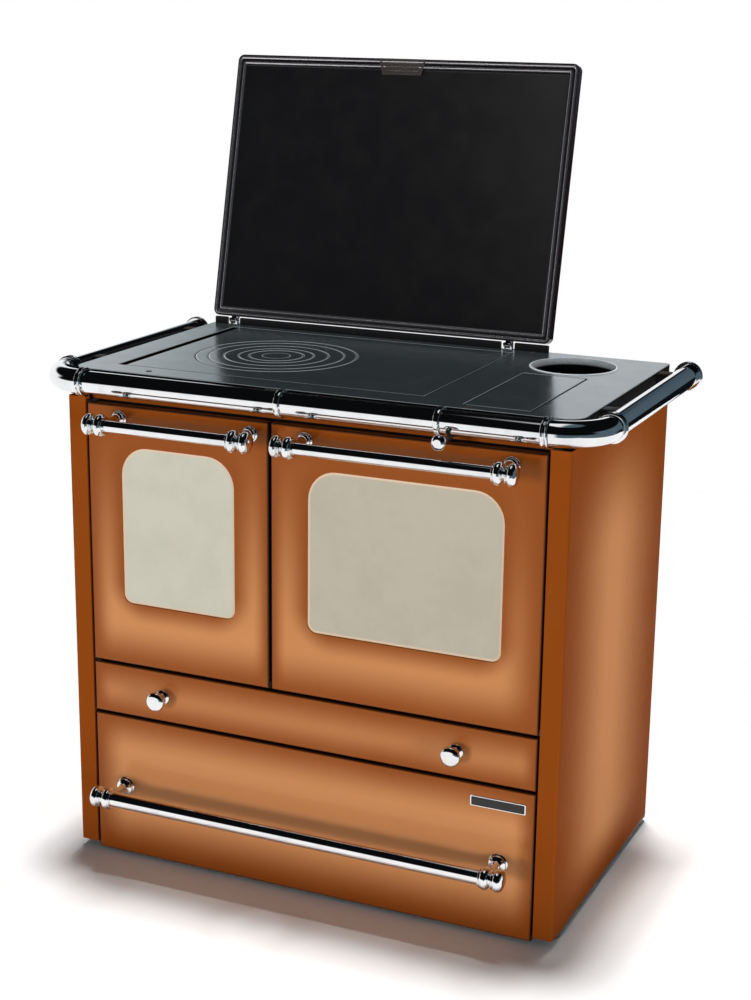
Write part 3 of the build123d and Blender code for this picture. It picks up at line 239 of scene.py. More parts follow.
def makeCastGrain():
    # sand-cast skin: pebbled height, soot and rust masks
    group, given, result = newGroup("CastGrain", {"Scale": 260.0}, ["Dirt", "Roughness", "Height"])
    wide = noise(group, given["Vector"], 14.0, 5.0, 0.6)
    feed(group, result, {
        "Dirt": ramp(group, wide, 0.45, 0.75), "Roughness": ramp(group, wide, 0.3, 0.7, 0.42, 0.72),
        "Height": noise(group, given["Vector"], given["Scale"], 4.0, 0.7)})
    return group


enamelShade = makeEnamelShade()
metalWear = makeMetalWear()
castGrain = makeCastGrain()


def enamel(name, values):
    # values hold the panel's outline, its falls and its window in millimetres
    material, tree, shader, place = newMaterial(name)
    where = place
    shift = 0.0
    if values.get("side"):
        swapped = addNode(tree, "SeparateXYZ", {0: place}).outputs
        where = addNode(tree, "CombineXYZ", {0: swapped["Y"], 2: swapped["Z"]}).outputs[0]
        shift = faceY
    x0, x1, z0, z1 = (edge / 1000 for edge in values["panel"])
    left, right, low, high = (fall / 1000 for fall in values["falls"])
    middle = useGroup(tree, pillowField, {
        "Vector": where, "Left": x0 + shift, "Right": x1 + shift, "Low": z0, "High": z1, "Fall Left": left,
        "Fall Right": right, "Fall Low": low, "Fall High": high})["Middle"]
    given = {"Vector": place, "Middle": middle, "Paleness": values["pale"]}
    if not values.get("side"):
        given["Rim"] = roundDistance(tree, where, values["panel"], enamelLook["rimCorner"])
    if "window" in values:
        given["Window"] = roundDistance(tree, where, values["window"], enamelLook["haloCorner"])
        given["Window Width"] = values["halo"] / 1000
    shade = useGroup(tree, enamelShade, given)
    feed(tree, shader.inputs, {
        "Base Color": shade["Color"], "Roughness": calc(tree, "ADD", shade["Roughness"], values["dull"]),
        "Specular IOR Level": values["gloss"], "Specular Tint": enamelLook["reflection"]})
    bumped(tree, shader, shade["Height"], *enamelLook["peel"])
    return material


def wearOf(tree, place, values):
    low, high = values["rough"]
    return useGroup(tree, metalWear, {"Vector": place, "Low": low, "High": high, "Grain": values["grain"]})


def dress(tree, shader, surface, stained, values, depth):
    # colour, roughness and bump from what a group puts out
    feed(tree, shader.inputs, {
        "Base Color": mixed(tree, stained, values["color"], values["stain"]),
        "Roughness": surface["Roughness"], "Metallic": values["metallic"]})
    bumped(tree, shader, surface["Height"], values["bump"], depth)


def metal(name, values):
    material, tree, shader, place = newMaterial(name)
    wear = wearOf(tree, place, values)
    dress(tree, shader, wear, ramp(tree, wear["Smear"], 0.4, 0.75), values, 0.0002)
    return material


def casting(name, values):
    material, tree, shader, place = newMaterial(name)
    grain = useGroup(tree, castGrain, {"Vector": place, "Scale": values["scale"]})
    dress(tree, shader, grain, grain["Dirt"], values, 0.0006)
    return material


# bright: colour of the edges, partly wear and partly a painted highlight
groundLook = {"bright": (0.42, 0.46, 0.48, 1), "wornAndGlintDepth": (0.04, 0.22), "soot": (0.004, 0.004, 0.004, 1)}


def groundIron(name, values):
    # ground face, edges painted bright, partly as wear and partly as a painted highlight, soot below them;
    # depths under the top in millimetres
    material, tree, shader, place = newMaterial(name)
    wear = wearOf(tree, place, values)
    stained = mixed(tree, ramp(tree, wear["Smear"], 0.35, 0.75), values["color"], values["stain"])
    height = addNode(tree, "SeparateXYZ", {0: place}).outputs["Z"]
    depth = calc(tree, "SUBTRACT", values["top"] / 1000, height)
    start, end = (level / 1000 for level in groundLook["wornAndGlintDepth"])
    # edges painted bright: partly wear, partly a painted highlight
    worn = ramp(tree, depth, start, end, 0.0, values["worn"])
    edged = mixed(tree, worn, stained, groundLook["bright"])
    start, end = (level / 1000 for level in values["soot"])
    sooty = ramp(tree, depth, start, end)
    bare = calc(tree, "SUBTRACT", 1.0, calc(tree, "MAXIMUM", sooty, worn))
    feed(tree, shader.inputs, {
        "Base Color": mixed(tree, sooty, edged, groundLook["soot"]),
        "Roughness": calc(tree, "MAXIMUM", wear["Roughness"], sooty),
        "Metallic": calc(tree, "MULTIPLY", bare, values["metallic"])})
    bumped(tree, shader, wear["Height"], values["bump"], 0.0002)
    return material


chrome = metal("chrome_plate", {
    "color": (0.86, 0.87, 0.88, 1), "stain": (0.74, 0.75, 0.77, 1), "metallic": 1.0, "rough": (0.02, 0.07),
    "grain": 500.0, "bump": 0.02})
blackEnamel = metal("black_enamel", {
    "color": (0.0060, 0.0060, 0.0068, 1), "stain": (0.0075, 0.0073, 0.0080, 1), "metallic": 0.0,
    "rough": (0.28, 0.36), "grain": 420.0, "bump": 0.04})
pullSteel = metal("pull_steel", {
    "color": (0.20, 0.17, 0.16, 1), "stain": (0.13, 0.11, 0.10, 1), "metallic": 0.8, "rough": (0.22, 0.36),
    "grain": 500.0, "bump": 0.06})
coverEnamel = metal("cover_enamel", {
    "color": (0.011, 0.0065, 0.0068, 1), "stain": (0.016, 0.0095, 0.0095, 1), "metallic": 0.0,
    "rough": (0.07, 0.15), "grain": 420.0, "bump": 0.04})
satinSteel = metal("satin_steel", {
    "color": (0.60, 0.57, 0.61, 1), "stain": (0.48, 0.46, 0.49, 1), "metallic": 0.95, "rough": (0.20, 0.30),
    "grain": 500.0, "bump": 0.05})
zinc = metal("zinc_sheet_metal", {
    "color": (0.52, 0.54, 0.55, 1), "stain": (0.40, 0.42, 0.43, 1), "metallic": 0.9, "rough": (0.32, 0.50),
    "grain": 120.0, "bump": 0.08})
ovenSteel = metal("oven_steel_sheet", {
    "color": (0.40, 0.39, 0.37, 1), "stain": (0.30, 0.25, 0.20, 1), "metallic": 0.9, "rough": (0.30, 0.48),
    "grain": 300.0, "bump": 0.10})
darkSteel = metal("dark_steel_bar", {
    "color": (0.085, 0.085, 0.088, 1), "stain": (0.12, 0.10, 0.085, 1), "metallic": 0.8,
    "rough": (0.35, 0.55), "grain": 300.0, "bump": 0.15})
castIron = casting("sand_cast_iron", {
    "color": (0.030, 0.030, 0.031, 1), "stain": (0.055, 0.043, 0.034, 1), "metallic": 0.35, "scale": 380.0,
    "bump": 0.45})
firebrick = casting("refractory_brick", {
    "color": (0.60, 0.48, 0.33, 1), "stain": (0.38, 0.28, 0.19, 1), "metallic": 0.0, "scale": 300.0,
    "bump": 0.8})
rope = casting("woven_rope", {
    "color": (0.16, 0.15, 0.14, 1), "stain": (0.09, 0.085, 0.08, 1), "metallic": 0.0, "scale": 700.0,
    "bump": 0.9})


# border is the colour of the painted highlight along the window's edge
glassLook = {"cloud": 0.93, "border": (0.68, 0.51, 0.35, 1), "borderFade": (-0.0042, -0.0030),
             "rough": (0.04, 0.12), "transmission": 0.12, "ior": 1.47, "ripple": (0.03, 0.0005)}
windowRounds = {"upper": 50, "lower": 16}          # radii of a window's corners


def makeGlass(name, color, window):
    # pane coloured pale as a painted reflection, with a paler border, 4 mm wide, painted along the window's
    # edge as a highlight
    material, tree, shader, place = newMaterial(name)
    cloud = noise(tree, place, 16.0, 5.0, 0.6)
    clouded = [part * glassLook["cloud"] for part in color[:3]] + [1]
    tint = mixed(tree, ramp(tree, cloud, 0.35, 0.7), color, clouded)
    height = addNode(tree, "SeparateXYZ", {0: place}).outputs["Z"]
    isUpper = calc(tree, "GREATER_THAN", height, (window[2] + window[3]) / 2000)
    upper, lower = windowRounds["upper"] / 1000, windowRounds["lower"] / 1000
    corner = calc(tree, "MULTIPLY_ADD", isUpper, upper - lower, lower)
    # the paler border is a painted highlight along the window's edge
    border = ramp(tree, roundDistance(tree, place, window, corner), *glassLook["borderFade"])
    feed(tree, shader.inputs, {
        "Base Color": mixed(tree, border, tint, glassLook["border"]),
        "Roughness": ramp(tree, cloud, 0.3, 0.7, *glassLook["rough"]),
        "Transmission Weight": glassLook["transmission"], "IOR": glassLook["ior"]})
    bumped(tree, shader, noise(tree, place, 60.0, 2.0), *glassLook["ripple"])
    return material


print("materials made")


def addObject(name, data):
    made = bpy.data.objects.new(name, data)
    bpy.context.scene.collection.objects.link(made)
    return made


flatArea = 0.0006          # square metres from which a face of a CAD shape is shaded flat


def finishPiece(name, bm, material, body, nodes=(), angle=35, flat=inf):
    bmesh.ops.recalc_face_normals(bm, faces=bm.faces)
    bm.transform(toRow)
    mesh = bpy.data.meshes.new(name)
    bm.to_mesh(mesh)
    bm.free()
    mesh.set_sharp_from_angle(angle=radians(angle))
    for polygon in mesh.polygons:
        polygon.use_smooth = polygon.area < flat
    mesh.materials.append(material)
    made = addObject(name, mesh)
    if mesh.has_custom_normals:
        # left over from the CAD mesh, out of place once its edges are rounded
        mesh.attributes.remove(mesh.attributes["custom_normal"])
    if flat == inf:
        made.modifiers.new("even_normals", "WEIGHTED_NORMAL").keep_sharp = True
    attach(made, body)
    if nodes:
        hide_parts(*nodes)
    return made


def roundedLoop(box, inset, upper, lower, steps=8):
    # outline of a box, drawn in by the inset, with the radii of its upper and lower corners
    x0, z0 = box[0] + inset, box[2] + inset
    x1, z1 = box[1] - inset, box[3] - inset
    points = []
    for x, z, radius, start in ((x1 - lower, z0 + lower, lower, -90), (x1 - upper, z1 - upper, upper, 0),
                                (x0 + upper, z1 - upper, upper, 90), (x0 + lower, z0 + lower, lower, 180)):
        for n in range(steps + 1):
            a = radians(start + 90 * n / steps)
            points.append((x + radius * cos(a), z + radius * sin(a)))
    return points


def standing(points, y):
    return [(x, y, z) for x, z in points]


def lying(points, z):
    return [(x, y, z) for x, y in points]


def loft(bm, loops, ends=(False, False), ring=False):
    # skin over loops of as many points each, with its ends closed or joined into a ring
    rows = [[bm.verts.new(p) for p in loop] for loop in loops]
    pairs = list(zip(rows, rows[1:])) + ([(rows[-1], rows[0])] if ring else [])
    for a, b in pairs:
        for n in range(len(a)):
            m = (n + 1) % len(a)
            bm.faces.new((a[n], a[m], b[m], b[n]))
    if ends[0]:
        bm.faces.new(rows[0])
    if ends[1]:
        bm.faces.new(rows[-1])


def quarter(radius, steps):
    # (inset, depth) points of a rounded edge, from the side to the face
    return [(radius * (1 - cos(radians(90 * n / steps))),
             radius * (1 - sin(radians(90 * n / steps)))) for n in range(steps + 1)]


def facing(x, y, z, direction):
    turned = Vector(direction).to_track_quat("Z", "Y").to_matrix().to_4x4()
    return Matrix.Translation((x, y, z)) @ turned


def soften(points, times=2):
    # cuts the corners of a profile, so that they round off
    for _ in range(times):
        smooth = [points[0]]
        for (r0, h0), (r1, h1) in zip(points, points[1:]):
            smooth.append((r0 * 0.75 + r1 * 0.25, h0 * 0.75 + h1 * 0.25))
            smooth.append((r0 * 0.25 + r1 * 0.75, h0 * 0.25 + h1 * 0.75))
        points = smooth + [points[-1]]
    return points


def circleAt(radius, height, place, steps):
    angles = [tau * n / steps for n in range(steps)]
    return [place @ Vector((radius * cos(a), radius * sin(a), height)) for a in angles]


def turn(bm, profile, place, steps):
    # solid of revolution about the local z axis; a radius of 0 closes it
    rows = []
    for radius, height in profile:
        points = circleAt(radius, height, place, steps) if radius else [place @ Vector((0, 0, height))]
        rows.append([bm.verts.new(p) for p in points])
    for a, b in zip(rows, rows[1:]):
        for n in range(steps):
            m = (n + 1) % steps
            if len(a) == 1:
                bm.faces.new((a[0], b[m], b[n]))
            elif len(b) == 1:
                bm.faces.new((a[n], a[m], b[0]))
            else:
                bm.faces.new((a[n], a[m], b[m], b[n]))


def turnRing(bm, profile, place, steps):
    loft(bm, [circleAt(radius, height, place, steps) for radius, height in profile], ring=True)


def sweep(bm, path, radius, steps, ring=False):
    # tube whose cross-sections are carried along the path without twist
    loops = []
    points = [Vector(p) for p in path]
    count = len(points)
    up = None
    for n, point in enumerate(points):
        before = points[n - 1] if n or ring else point
        after = points[(n + 1) % count] if n + 1 < count or ring else point
        along = (after - before).normalized()
        if up is None:
            up = along.orthogonal().normalized()
        up = (up - along * up.dot(along)).normalized()
        side = along.cross(up)
        loops.append([point + radius * (cos(tau * k / steps) * up
                                        + sin(tau * k / steps) * side) for k in range(steps)])
    loft(bm, loops, (not ring, not ring), ring)


def slab(bm, x0, x1, y0, y1, z0, z1, edge):
    # block with rounded edges
    made = bmesh.ops.create_cube(bm, size=1.0)["verts"]
    for v in made:
        v.co = Vector((x0 if v.co.x < 0 else x1, y0 if v.co.y < 0 else y1, z0 if v.co.z < 0 else z1))
    edges = {e for v in made for e in v.link_edges}
    bmesh.ops.bevel(bm, geom=list(edges), offset=edge, segments=2, profile=0.5, affect="EDGES")


def flatPlate(bm, outlines, z0, z1, edge):
    # plate with rounded edges: the first outline is its rim, the others are holes
    curve = bpy.data.curves.new("outline", "CURVE")
    curve.dimensions = "2D"
    curve.fill_mode = "BOTH"
    curve.extrude = (z1 - z0) / 2 - edge
    curve.bevel_depth = edge
    curve.bevel_resolution = 2
    curve.offset = -edge
    for points in outlines:
        spline = curve.splines.new("POLY")
        spline.points.add(len(points) - 1)
        for n, (x, y) in enumerate(points):
            spline.points[n].co = (x, y, 0, 1)
        spline.use_cyclic_u = True
    made = bpy.data.objects.new("outline", curve)
    mesh = bpy.data.meshes.new_from_object(made)
    mesh.transform(Matrix.Translation((0, 0, (z0 + z1) / 2)))
    bm.from_mesh(mesh)
    bpy.data.objects.remove(made)
    bpy.data.curves.remove(curve)
    bpy.data.meshes.remove(mesh)
    bmesh.ops.remove_doubles(bm, verts=bm.verts, dist=0.001)


def refined(node, material, edge):
    # a CAD node's own shape with its edges rounded
    source = frame["nodes"][node]
    bm = bmesh.new()
    bm.from_mesh(source.data)
    bmesh.ops.remove_doubles(bm, verts=bm.verts, dist=2e-6)
    bmesh.ops.dissolve_limit(bm, angle_limit=radians(1), verts=bm.verts, edges=bm.edges)
    bm.transform(toRow.inverted())
    sharp = [e for e in bm.edges if len(e.link_faces) == 2 and e.calc_face_angle(0) > radians(28)]
    bmesh.ops.bevel(bm, geom=sharp, offset=edge, segments=2, profile=0.5, affect="EDGES", clamp_overlap=True)
    finishPiece(node + "_finished", bm, material, source["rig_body"], (node,), flat=flatArea)


# each front's falls and paleness shape its pale middle: sprayed tone together with painted highlight and
# shade
fronts = {
    "firebox_door": {"panel": (-403.5, -66, 358.5, 810), "window": (-340.5, -129, 469, 741),
                     "falls": (44, 30, 80, 390), "halo": 40, "pale": 0.92},
    "oven_door": {"panel": (-62, 403.5, 358.5, 810), "window": (4, 337.5, 469, 741),
                  "falls": (30, 70, 80, 390), "halo": 40, "pale": 0.86},
    "ash_drawer": {"panel": (-403.5, 403.5, 264.5, 355.5), "falls": (36, 30, 52, 60), "pale": 0.68},
    "wood_drawer": {"panel": (-403.5, 403.5, 5, 261.5), "falls": (62, 40, 105, 72), "pale": 1.04},
}
frontSheet = {"depth": 18, "corner": 1.6, "faceEdge": 4, "windowEdge": 1.6, "windowDepth": 2.0,
              "finish": {"gloss": 0.36, "dull": -0.04}}


def panLoops(panel):
    # folded sheet from its rear rim round its sides and over the rounded edge of its face
    def at(inset, y):
        r = max(frontSheet["corner"] - inset, 0.4)
        return standing(roundedLoop(panel, inset, r, r), y)
    depth = frontSheet["depth"]
    loops = [at(2, depth), at(0.5, depth), at(0, depth - 0.5)]
    return loops + [at(inset, y) for inset, y in quarter(frontSheet["faceEdge"], 6)]


def windowLoop(window, grow, y):
    return standing(roundedLoop(window, -grow, windowRounds["upper"] + grow, windowRounds["lower"] + grow), y)


def makeFront(name, values):
    bm = bmesh.new()
    loops = panLoops(values["panel"])
    window = values.get("window")
    if window:
        edge = reversed(quarter(frontSheet["windowEdge"], 4))
        loops += [windowLoop(window, grow, y) for grow, y in edge]
        loops.append(windowLoop(window, 0, frontSheet["windowDepth"]))
    loft(bm, loops, (False, not window))
    node = name + ("_skin" if window else "_front")
    material = enamel(name + "_enamel", {**values, **frontSheet["finish"]})
    finishPiece(node + "_enamel", bm, material, name, (node,))


for name, values in fronts.items():
    makeFront(name, values)
print("fronts made")


def makeGlassPane(name, color):
    # the pane reaches under the window's edge
    window = fronts[name]["window"]
    lap = 12
    bm = bmesh.new()
    loft(bm, [windowLoop(window, lap - inset, y) for inset, y in (
        (1.0, 6.3), (0, 5.6), (0, 3.0), (0.4, 2.5), (1.0, 2.3))], (True, True))
    material = makeGlass(name.replace("door", "glass"), color, window)
    finishPiece(name + "_glass_pane", bm, material, name, (name + "_glass",))


# the panes' pale colours are painted reflections
makeGlassPane("firebox_door", (0.54, 0.525, 0.427, 1))
makeGlassPane("oven_door", (0.455, 0.413, 0.325, 1))


handles = {
    "firebox": {"left": -341, "right": -97.5, "z": 788, "bar": 9.9, "lobe": 1.53, "body": "firebox_door"},
    "oven": {"left": 0, "right": 347, "z": 788, "bar": 9.9, "lobe": 1.53, "body": "oven_door"},
    "wood": {"left": -345, "right": 345, "z": 132, "bar": 13.0, "lobe": 0.99, "body": "wood_drawer"},
}
fitting = {  # (radius, height) of each profile; the lobes' radii are over the bar's, the foot's over its own
    "reach": 58, "barInset": 8.6, "footOver": 3.0, "lobeEnds": (-9, 31), "postEnd": 54,
    "lobes": ((0.8, -9), (3.2, -9), (3.8, -7.6), (2.2, -6.6), (5.2, -4), (5.6, 0), (5.2, 4), (1.6, 7.4),
              (-1.2, 8.6), (-1.2, 11), (2.8, 12.4), (3.4, 13.6), (1.0, 14.8), (4.6, 17.2), (5.6, 20.6),
              (5.0, 25.4), (2.2, 29.2), (-3.5, 30.8)),
    "foot": ((1.0, 0), (1.0, 1.8), (0.3, 3.2), (-1.6, 4.0), (-1.8, 5.2), (-0.6, 6.2), (-1.4, 7.4)),
    "stem": ((7.6, 11), (6.6, 18), (6.6, 36), (8.4, 42), (9.6, 46), (8.0, 50)),
}


def makeFitting(bm, x, values, outward):
    bar, z = values["bar"], values["z"]
    start, end = fitting["lobeEnds"]
    lobes = soften([(bar + r * values["lobe"], h) for r, h in fitting["lobes"]])
    lobes = [(0, start), (bar - 0.5, start)] + lobes + [(0, end)]
    turn(bm, lobes, facing(x, -fitting["reach"], z, (outward, 0, 0)), 44)
    foot = bar + fitting["footOver"]
    post = [(0, 0), (foot + 0.6, 0)] + soften([(foot + r, h) for r, h in fitting["foot"]], 1)
    post += soften([(foot - 1.6, 8.0), *fitting["stem"]]) + [(0, fitting["postEnd"])]
    turn(bm, post, facing(x, 0, z, (0, -1, 0)), 36)


def makeHandle(name, values):
    bm = bmesh.new()
    left, right = values["left"] + fitting["barInset"], values["right"] - fitting["barInset"]
    bar = values["bar"]
    turn(bm, [(0, 0), (bar, 0), (bar, right - left), (0, right - left)],
         facing(left, -fitting["reach"], values["z"], (1, 0, 0)), 48)
    finishPiece(name + "_bar_polished", bm, chrome, values["body"], (name + "_handle_bar",))
    bm = bmesh.new()
    makeFitting(bm, values["left"], values, -1)
    makeFitting(bm, values["right"], values, 1)
    posts = name + "_handle_posts"
    finishPiece(name + "_fittings_turned", bm, chrome, values["body"], (posts,), 50)


for name, values in handles.items():
    makeHandle(name, values)


knobs = {
    "ash_knobs": {
        "places": ((-268, 0, 310), (268, 0, 310)), "length": 33, "steps": 40, "body": "ash_drawer",
        "node": "ash_drawer_knobs",
        "profile": ((12.4, 0), (13.0, 1.2), (12.6, 3.4), (10.6, 4.4), (8.0, 6.0), (7.2, 10), (7.4, 15),
                    (9.8, 17.6), (13.4, 19), (14.0, 20.6), (13.0, 21.6), (16.2, 23.4), (17.0, 26.2),
                    (15.8, 29.6), (12.0, 31.8), (7.0, 32.8))},
    "damper_knob": {
        "places": ((246, -32, 821),), "length": 24, "steps": 36, "body": "damper", "node": "damper_knob",
        "profile": ((5.8, 0), (6.4, 2), (6.0, 7.5), (8.4, 9.6), (11.0, 11.4), (12.3, 14.0), (12.3, 17.6),
                    (10.8, 21.2), (6.4, 23.6))},
}


def makeKnobs(name, values):
    bm = bmesh.new()
    profile = [(0, 0)] + soften(values["profile"]) + [(0, values["length"])]
    for place in values["places"]:
        turn(bm, profile, facing(*place, (0, -1, 0)), values["steps"])
    finishPiece(name + "_turned", bm, chrome, values["body"], (values["node"],), 50)


for name, values in knobs.items():
    makeKnobs(name, values)
print("handles made")


rail = {  # (radius, height) of each profile; the bead's radii are over the collar's
    "z": 845, "side": 479, "front": -8, "end": 500, "bend": 70, "radius": 19, "elbow": 20.5, "overlap": 6,
    "collar": 24.5, "rings": (-38, 232), "beadLength": 12, "capFoot": 19.2, "capLength": 14, "bandLength": 10,
    "bead": ((-4, 0), (-3.4, 0), (-0.4, 0.6), (0, 2.4), (-1.4, 4.4), (-2.8, 5.2), (-2.8, 6.8), (-1.4, 7.6),
             (0, 9.6), (-0.4, 11.4), (-3.4, 12), (-4, 12)),
    "cap": ((22.4, 0), (24.6, 0.6), (25, 3), (23.2, 5), (22.4, 6), (24.4, 7.2), (24.8, 9.4), (22.6, 11.6),
            (15, 13.4)),
    "band": ((19.2, 0), (21.6, 0), (22.8, 1.2), (23, 5), (22.8, 8.8), (21.6, 10), (19.2, 10)),
}


def makeRail():
    reach = rail["side"] - rail["bend"]
    start = rail["front"] + rail["bend"]
    r, z, lap = rail["radius"], rail["z"], rail["overlap"]
    bm = bmesh.new()
    tubes = [((lap - reach, rail["front"], z), (1, 0, 0), 2 * (reach - lap))]
    length = rail["end"] - start - lap
    tubes += [((side * rail["side"], start + lap, z), (0, 1, 0), length) for side in (-1, 1)]
    for place, direction, length in tubes:
        turn(bm, [(0, 0), (r, 0), (r, length), (0, length)], facing(*place, direction), 64)
    finishPiece("rail_tubes_polished", bm, chrome, "stove", ("rail_tubes",))
    bm = bmesh.new()
    for side in (-1, 1):
        path = []
        for n in range(17):
            a = radians(90 * n / 16)
            path.append((side * (reach + rail["bend"] * sin(a)), start - rail["bend"] * cos(a), z))
        sweep(bm, path, rail["elbow"], 40)
    finishPiece("rail_elbows_polished", bm, chrome, "stove", ("rail_elbows",))
    bm = bmesh.new()
    bead = soften([(rail["collar"] + over, h) for over, h in rail["bead"]])
    bead = [(0, 0)] + bead + [(0, rail["beadLength"])]
    cap = [(0, 0), (rail["capFoot"], 0)] + soften(rail["cap"]) + [(0, rail["capLength"])]
    length = rail["bandLength"]
    band = [(r, 0)] + soften(rail["band"], 1) + [(r, length)]
    for side in (-1, 1):
        turn(bm, bead, facing(side * reach, rail["front"], z, (-side, 0, 0)), 56)
        turn(bm, bead, facing(side * rail["side"], start, z, (0, 1, 0)), 56)
        turn(bm, cap, facing(side * rail["side"], rail["end"], z, (0, 1, 0)), 56)
    for x in rail["rings"]:
        turn(bm, band, facing(x - length / 2, rail["front"], z, (1, 0, 0)), 56)
    finishPiece("rail_collars_turned", bm, chrome, "stove", ("rail_collars",), 50)


makeRail()
print("rail made")


hob = {  # worn holds (distance from the gap, drop) of the shoulder's points
    "top": 862, "under": 854, "rim": 842, "box": (-445, 445, 20, 516), "rounds": (30, 8),
    "ring": (-186, 264), "radii": (65, 90.5, 117.5), "plate": (-373, 169.5, 75.5, 481.5),
    "groove": 140, "discGroove": 47, "gapDepth": 2.4, "mouth": (-388, 172, 74, 483), "ledge": 8,
    "flue": (305, 410, 74.4), "pad": (247, 358, 46, 322),
    "worn": ((3.4, 0), (2.0, 0.18), (1.1, 0.5), (0.7, 1.4)),
    "screws": ((-311, 46), (261, 30), (-60, 499), (200, 499)),
}
collar = {"radius": 70.5, "wall": 3.5, "low": 815, "lip": 1.5, "lipWall": 5.2}
hobIron = groundIron("ground_iron", {
    "color": (0.16, 0.20, 0.215, 1), "stain": (0.19, 0.235, 0.25, 1), "top": hob["top"], "metallic": 0.85,
    "rough": (0.17, 0.24), "grain": 900.0, "bump": 0.05, "worn": 0.75, "soot": (0.55, 1.3)})
collarSteel = groundIron("collar_steel", {
    "color": (0.74, 0.79, 0.82, 1), "stain": (0.60, 0.66, 0.70, 1), "top": hob["top"] + collar["lip"],
    "metallic": 0.2, "rough": (0.20, 0.34), "grain": 500.0, "bump": 0.1, "worn": 0.2, "soot": (9, 12.5)})


def shoulder(radius, side):
    # worn edge at a gap: face, rounded shoulder, drop into the gap on the given side
    return [(radius - side * away, hob["top"] - drop) for away, drop in hob["worn"]]


def grooved(radius):
    floor = hob["top"] - hob["gapDepth"]
    return shoulder(radius, 1) + [(radius - 0.6, floor), (radius + 0.6, floor)] + shoulder(radius, -1)[::-1]


def taper(radius):
    # conical seat, from the underside to the foot of the gap
    return [(radius - 6, hob["under"]), (radius - 1.2, hob["top"] - hob["gapDepth"])]


def innerEdge(radius):
    seat = radius + 0.35          # running play
    return taper(seat) + shoulder(seat - 0.5, -1)[::-1]


def outerEdge(radius):
    return shoulder(radius + 0.5, 1) + taper(radius)[::-1]


def rectPoint(angle, box, inset):
    # where a ray from the rings' centre meets the box, drawn in by the inset
    cx, cy = hob["ring"]
    dx, dy = cos(angle), sin(angle)
    across = (box[1] - inset if dx > 0 else box[0] + inset) - cx
    along = (box[3] - inset if dy > 0 else box[2] + inset) - cy
    reach = min(across / dx if abs(dx) > 1e-9 else inf, along / dy if abs(dy) > 1e-9 else inf)
    return cx + dx * reach, cy + dy * reach


def makeRingPlate():
    bm = bmesh.new()
    x0, x1, y0, y1 = hob["plate"]
    cx, cy = hob["ring"]
    corners = [atan2(y - cy, x - cx) % tau for x, y in ((x1, y1), (x0, y1), (x0, y0), (x1, y0))]
    angles = sorted([tau * n / 124 for n in range(124)] + corners)
    loops = [[(cx + r * cos(a), cy + r * sin(a), z) for a in angles]
             for r, z in innerEdge(hob["radii"][2]) + grooved(hob["groove"])]
    top = hob["top"]
    for inset, z in ((0.8, top), (0.2, top - 0.2), (0, top - 0.8), (0, hob["under"])):
        loops.append([(*rectPoint(a, hob["plate"], inset), z) for a in angles])
    loft(bm, loops, ring=True)
    finishPiece("ring_plate_ground", bm, hobIron, "stove", ("ring_plate",), 25)


def makeHobRing(name, inner, outer, body):
    bm = bmesh.new()
    turnRing(bm, innerEdge(inner) + outerEdge(outer), Matrix.Translation((*hob["ring"], 0)), 96)
    finishPiece(name + "_ground", bm, hobIron, body, (name,), 25)


def makeHobDisc():
    bm = bmesh.new()
    top = hob["top"]
    profile = [(0, hob["under"])] + outerEdge(hob["radii"][0])[::-1] + grooved(hob["discGroove"])[::-1]
    profile += [(26, top), (24.5, top - 0.35), (23, top), (6, top), (0, top)]
    turn(bm, profile, Matrix.Translation((*hob["ring"], 0)), 96)
    finishPiece("hob_disc_ground", bm, hobIron, "ring_lid", ("hob_disc",), 25)


def hobLoop(inset, z):
    front, rear = (max(r - inset, 1) for r in hob["rounds"])
    return lying(roundedLoop(hob["box"], inset, rear, front, 10), z)


def makeHobFrame():
    top, under, rim, mouth, pad = (hob[key] for key in ("top", "under", "rim", "mouth", "pad"))
    x, y, r = hob["flue"]
    flue = [p[:2] for p in circleAt(r, 0, Matrix.Translation((x, y, 0)), 96)]
    outer = [p[:2] for p in hobLoop(0, 0)]
    bm = bmesh.new()
    holes = [roundedLoop(mouth, 0, 2, 2, 3), flue, roundedLoop(pad, -1, 5, 5, 4)]
    flatPlate(bm, [outer, *holes], under, top, 1.1)
    flatPlate(bm, [roundedLoop(pad, 2, 4, 4, 4)], top - 4, top, 0.7)
    slab(bm, pad[0] - 2, pad[1] + 2, pad[2] - 2, pad[3] + 2, under + 0.4, top - 3, 0.2)
    skirt = [(0.15, under + 2), (0.15, rim + 1.2), (0.5, rim + 0.4), (1.3, rim), (6.8, rim), (7.7, rim + 0.4),
             (8, rim + 1.2), (8, under + 2)]
    loft(bm, [hobLoop(inset, z) for inset, z in skirt], ring=True)
    ledge = [roundedLoop(mouth, inset, 2, 2, 2) for inset in (-hob["ledge"], hob["ledge"])]
    flatPlate(bm, ledge, under - 6, under, 0.4)
    finishPiece("hob_frame_ground", bm, hobIron, "stove", ("hob_frame",), 25)


def makeHobScrews():
    # slotted countersunk heads
    head = [(0, -1.2), (4.4, -1.2), (5.4, -0.4), (5.6, 0.2), (4.6, 0.7), (0, 0.8)]
    top = hob["top"]
    bm = bmesh.new()
    for x, y in hob["screws"]:
        turn(bm, head, Matrix.Translation((x, y, top)), 24)
        slab(bm, x - 4, x + 4, y - 0.5, y + 0.5, top + 0.2, top + 1.0, 0.1)
    finishPiece("hob_screws_slotted", bm, pullSteel, "stove")


def makeFlueCollar():
    # spigot with a low rolled lip round the pipe's mouth
    r, low, top = collar["radius"], collar["low"], hob["top"]
    outside, half = r + collar["wall"], collar["lipWall"] / 2
    bm = bmesh.new()
    rolled = [(r + half + half * cos(radians(a)), top + collar["lip"] * sin(radians(a)))
              for a in range(0, 121, 20)]
    profile = [(outside, low), (outside, top - 0.4)] + rolled + [(r + 1.2, top - 2), (r, top - 12), (r, low)]
    turnRing(bm, profile, Matrix.Translation((*hob["flue"][:2], 0)), 96)
    finishPiece("flue_collar_rolled", bm, collarSteel, "stove", ("flue_collar",))


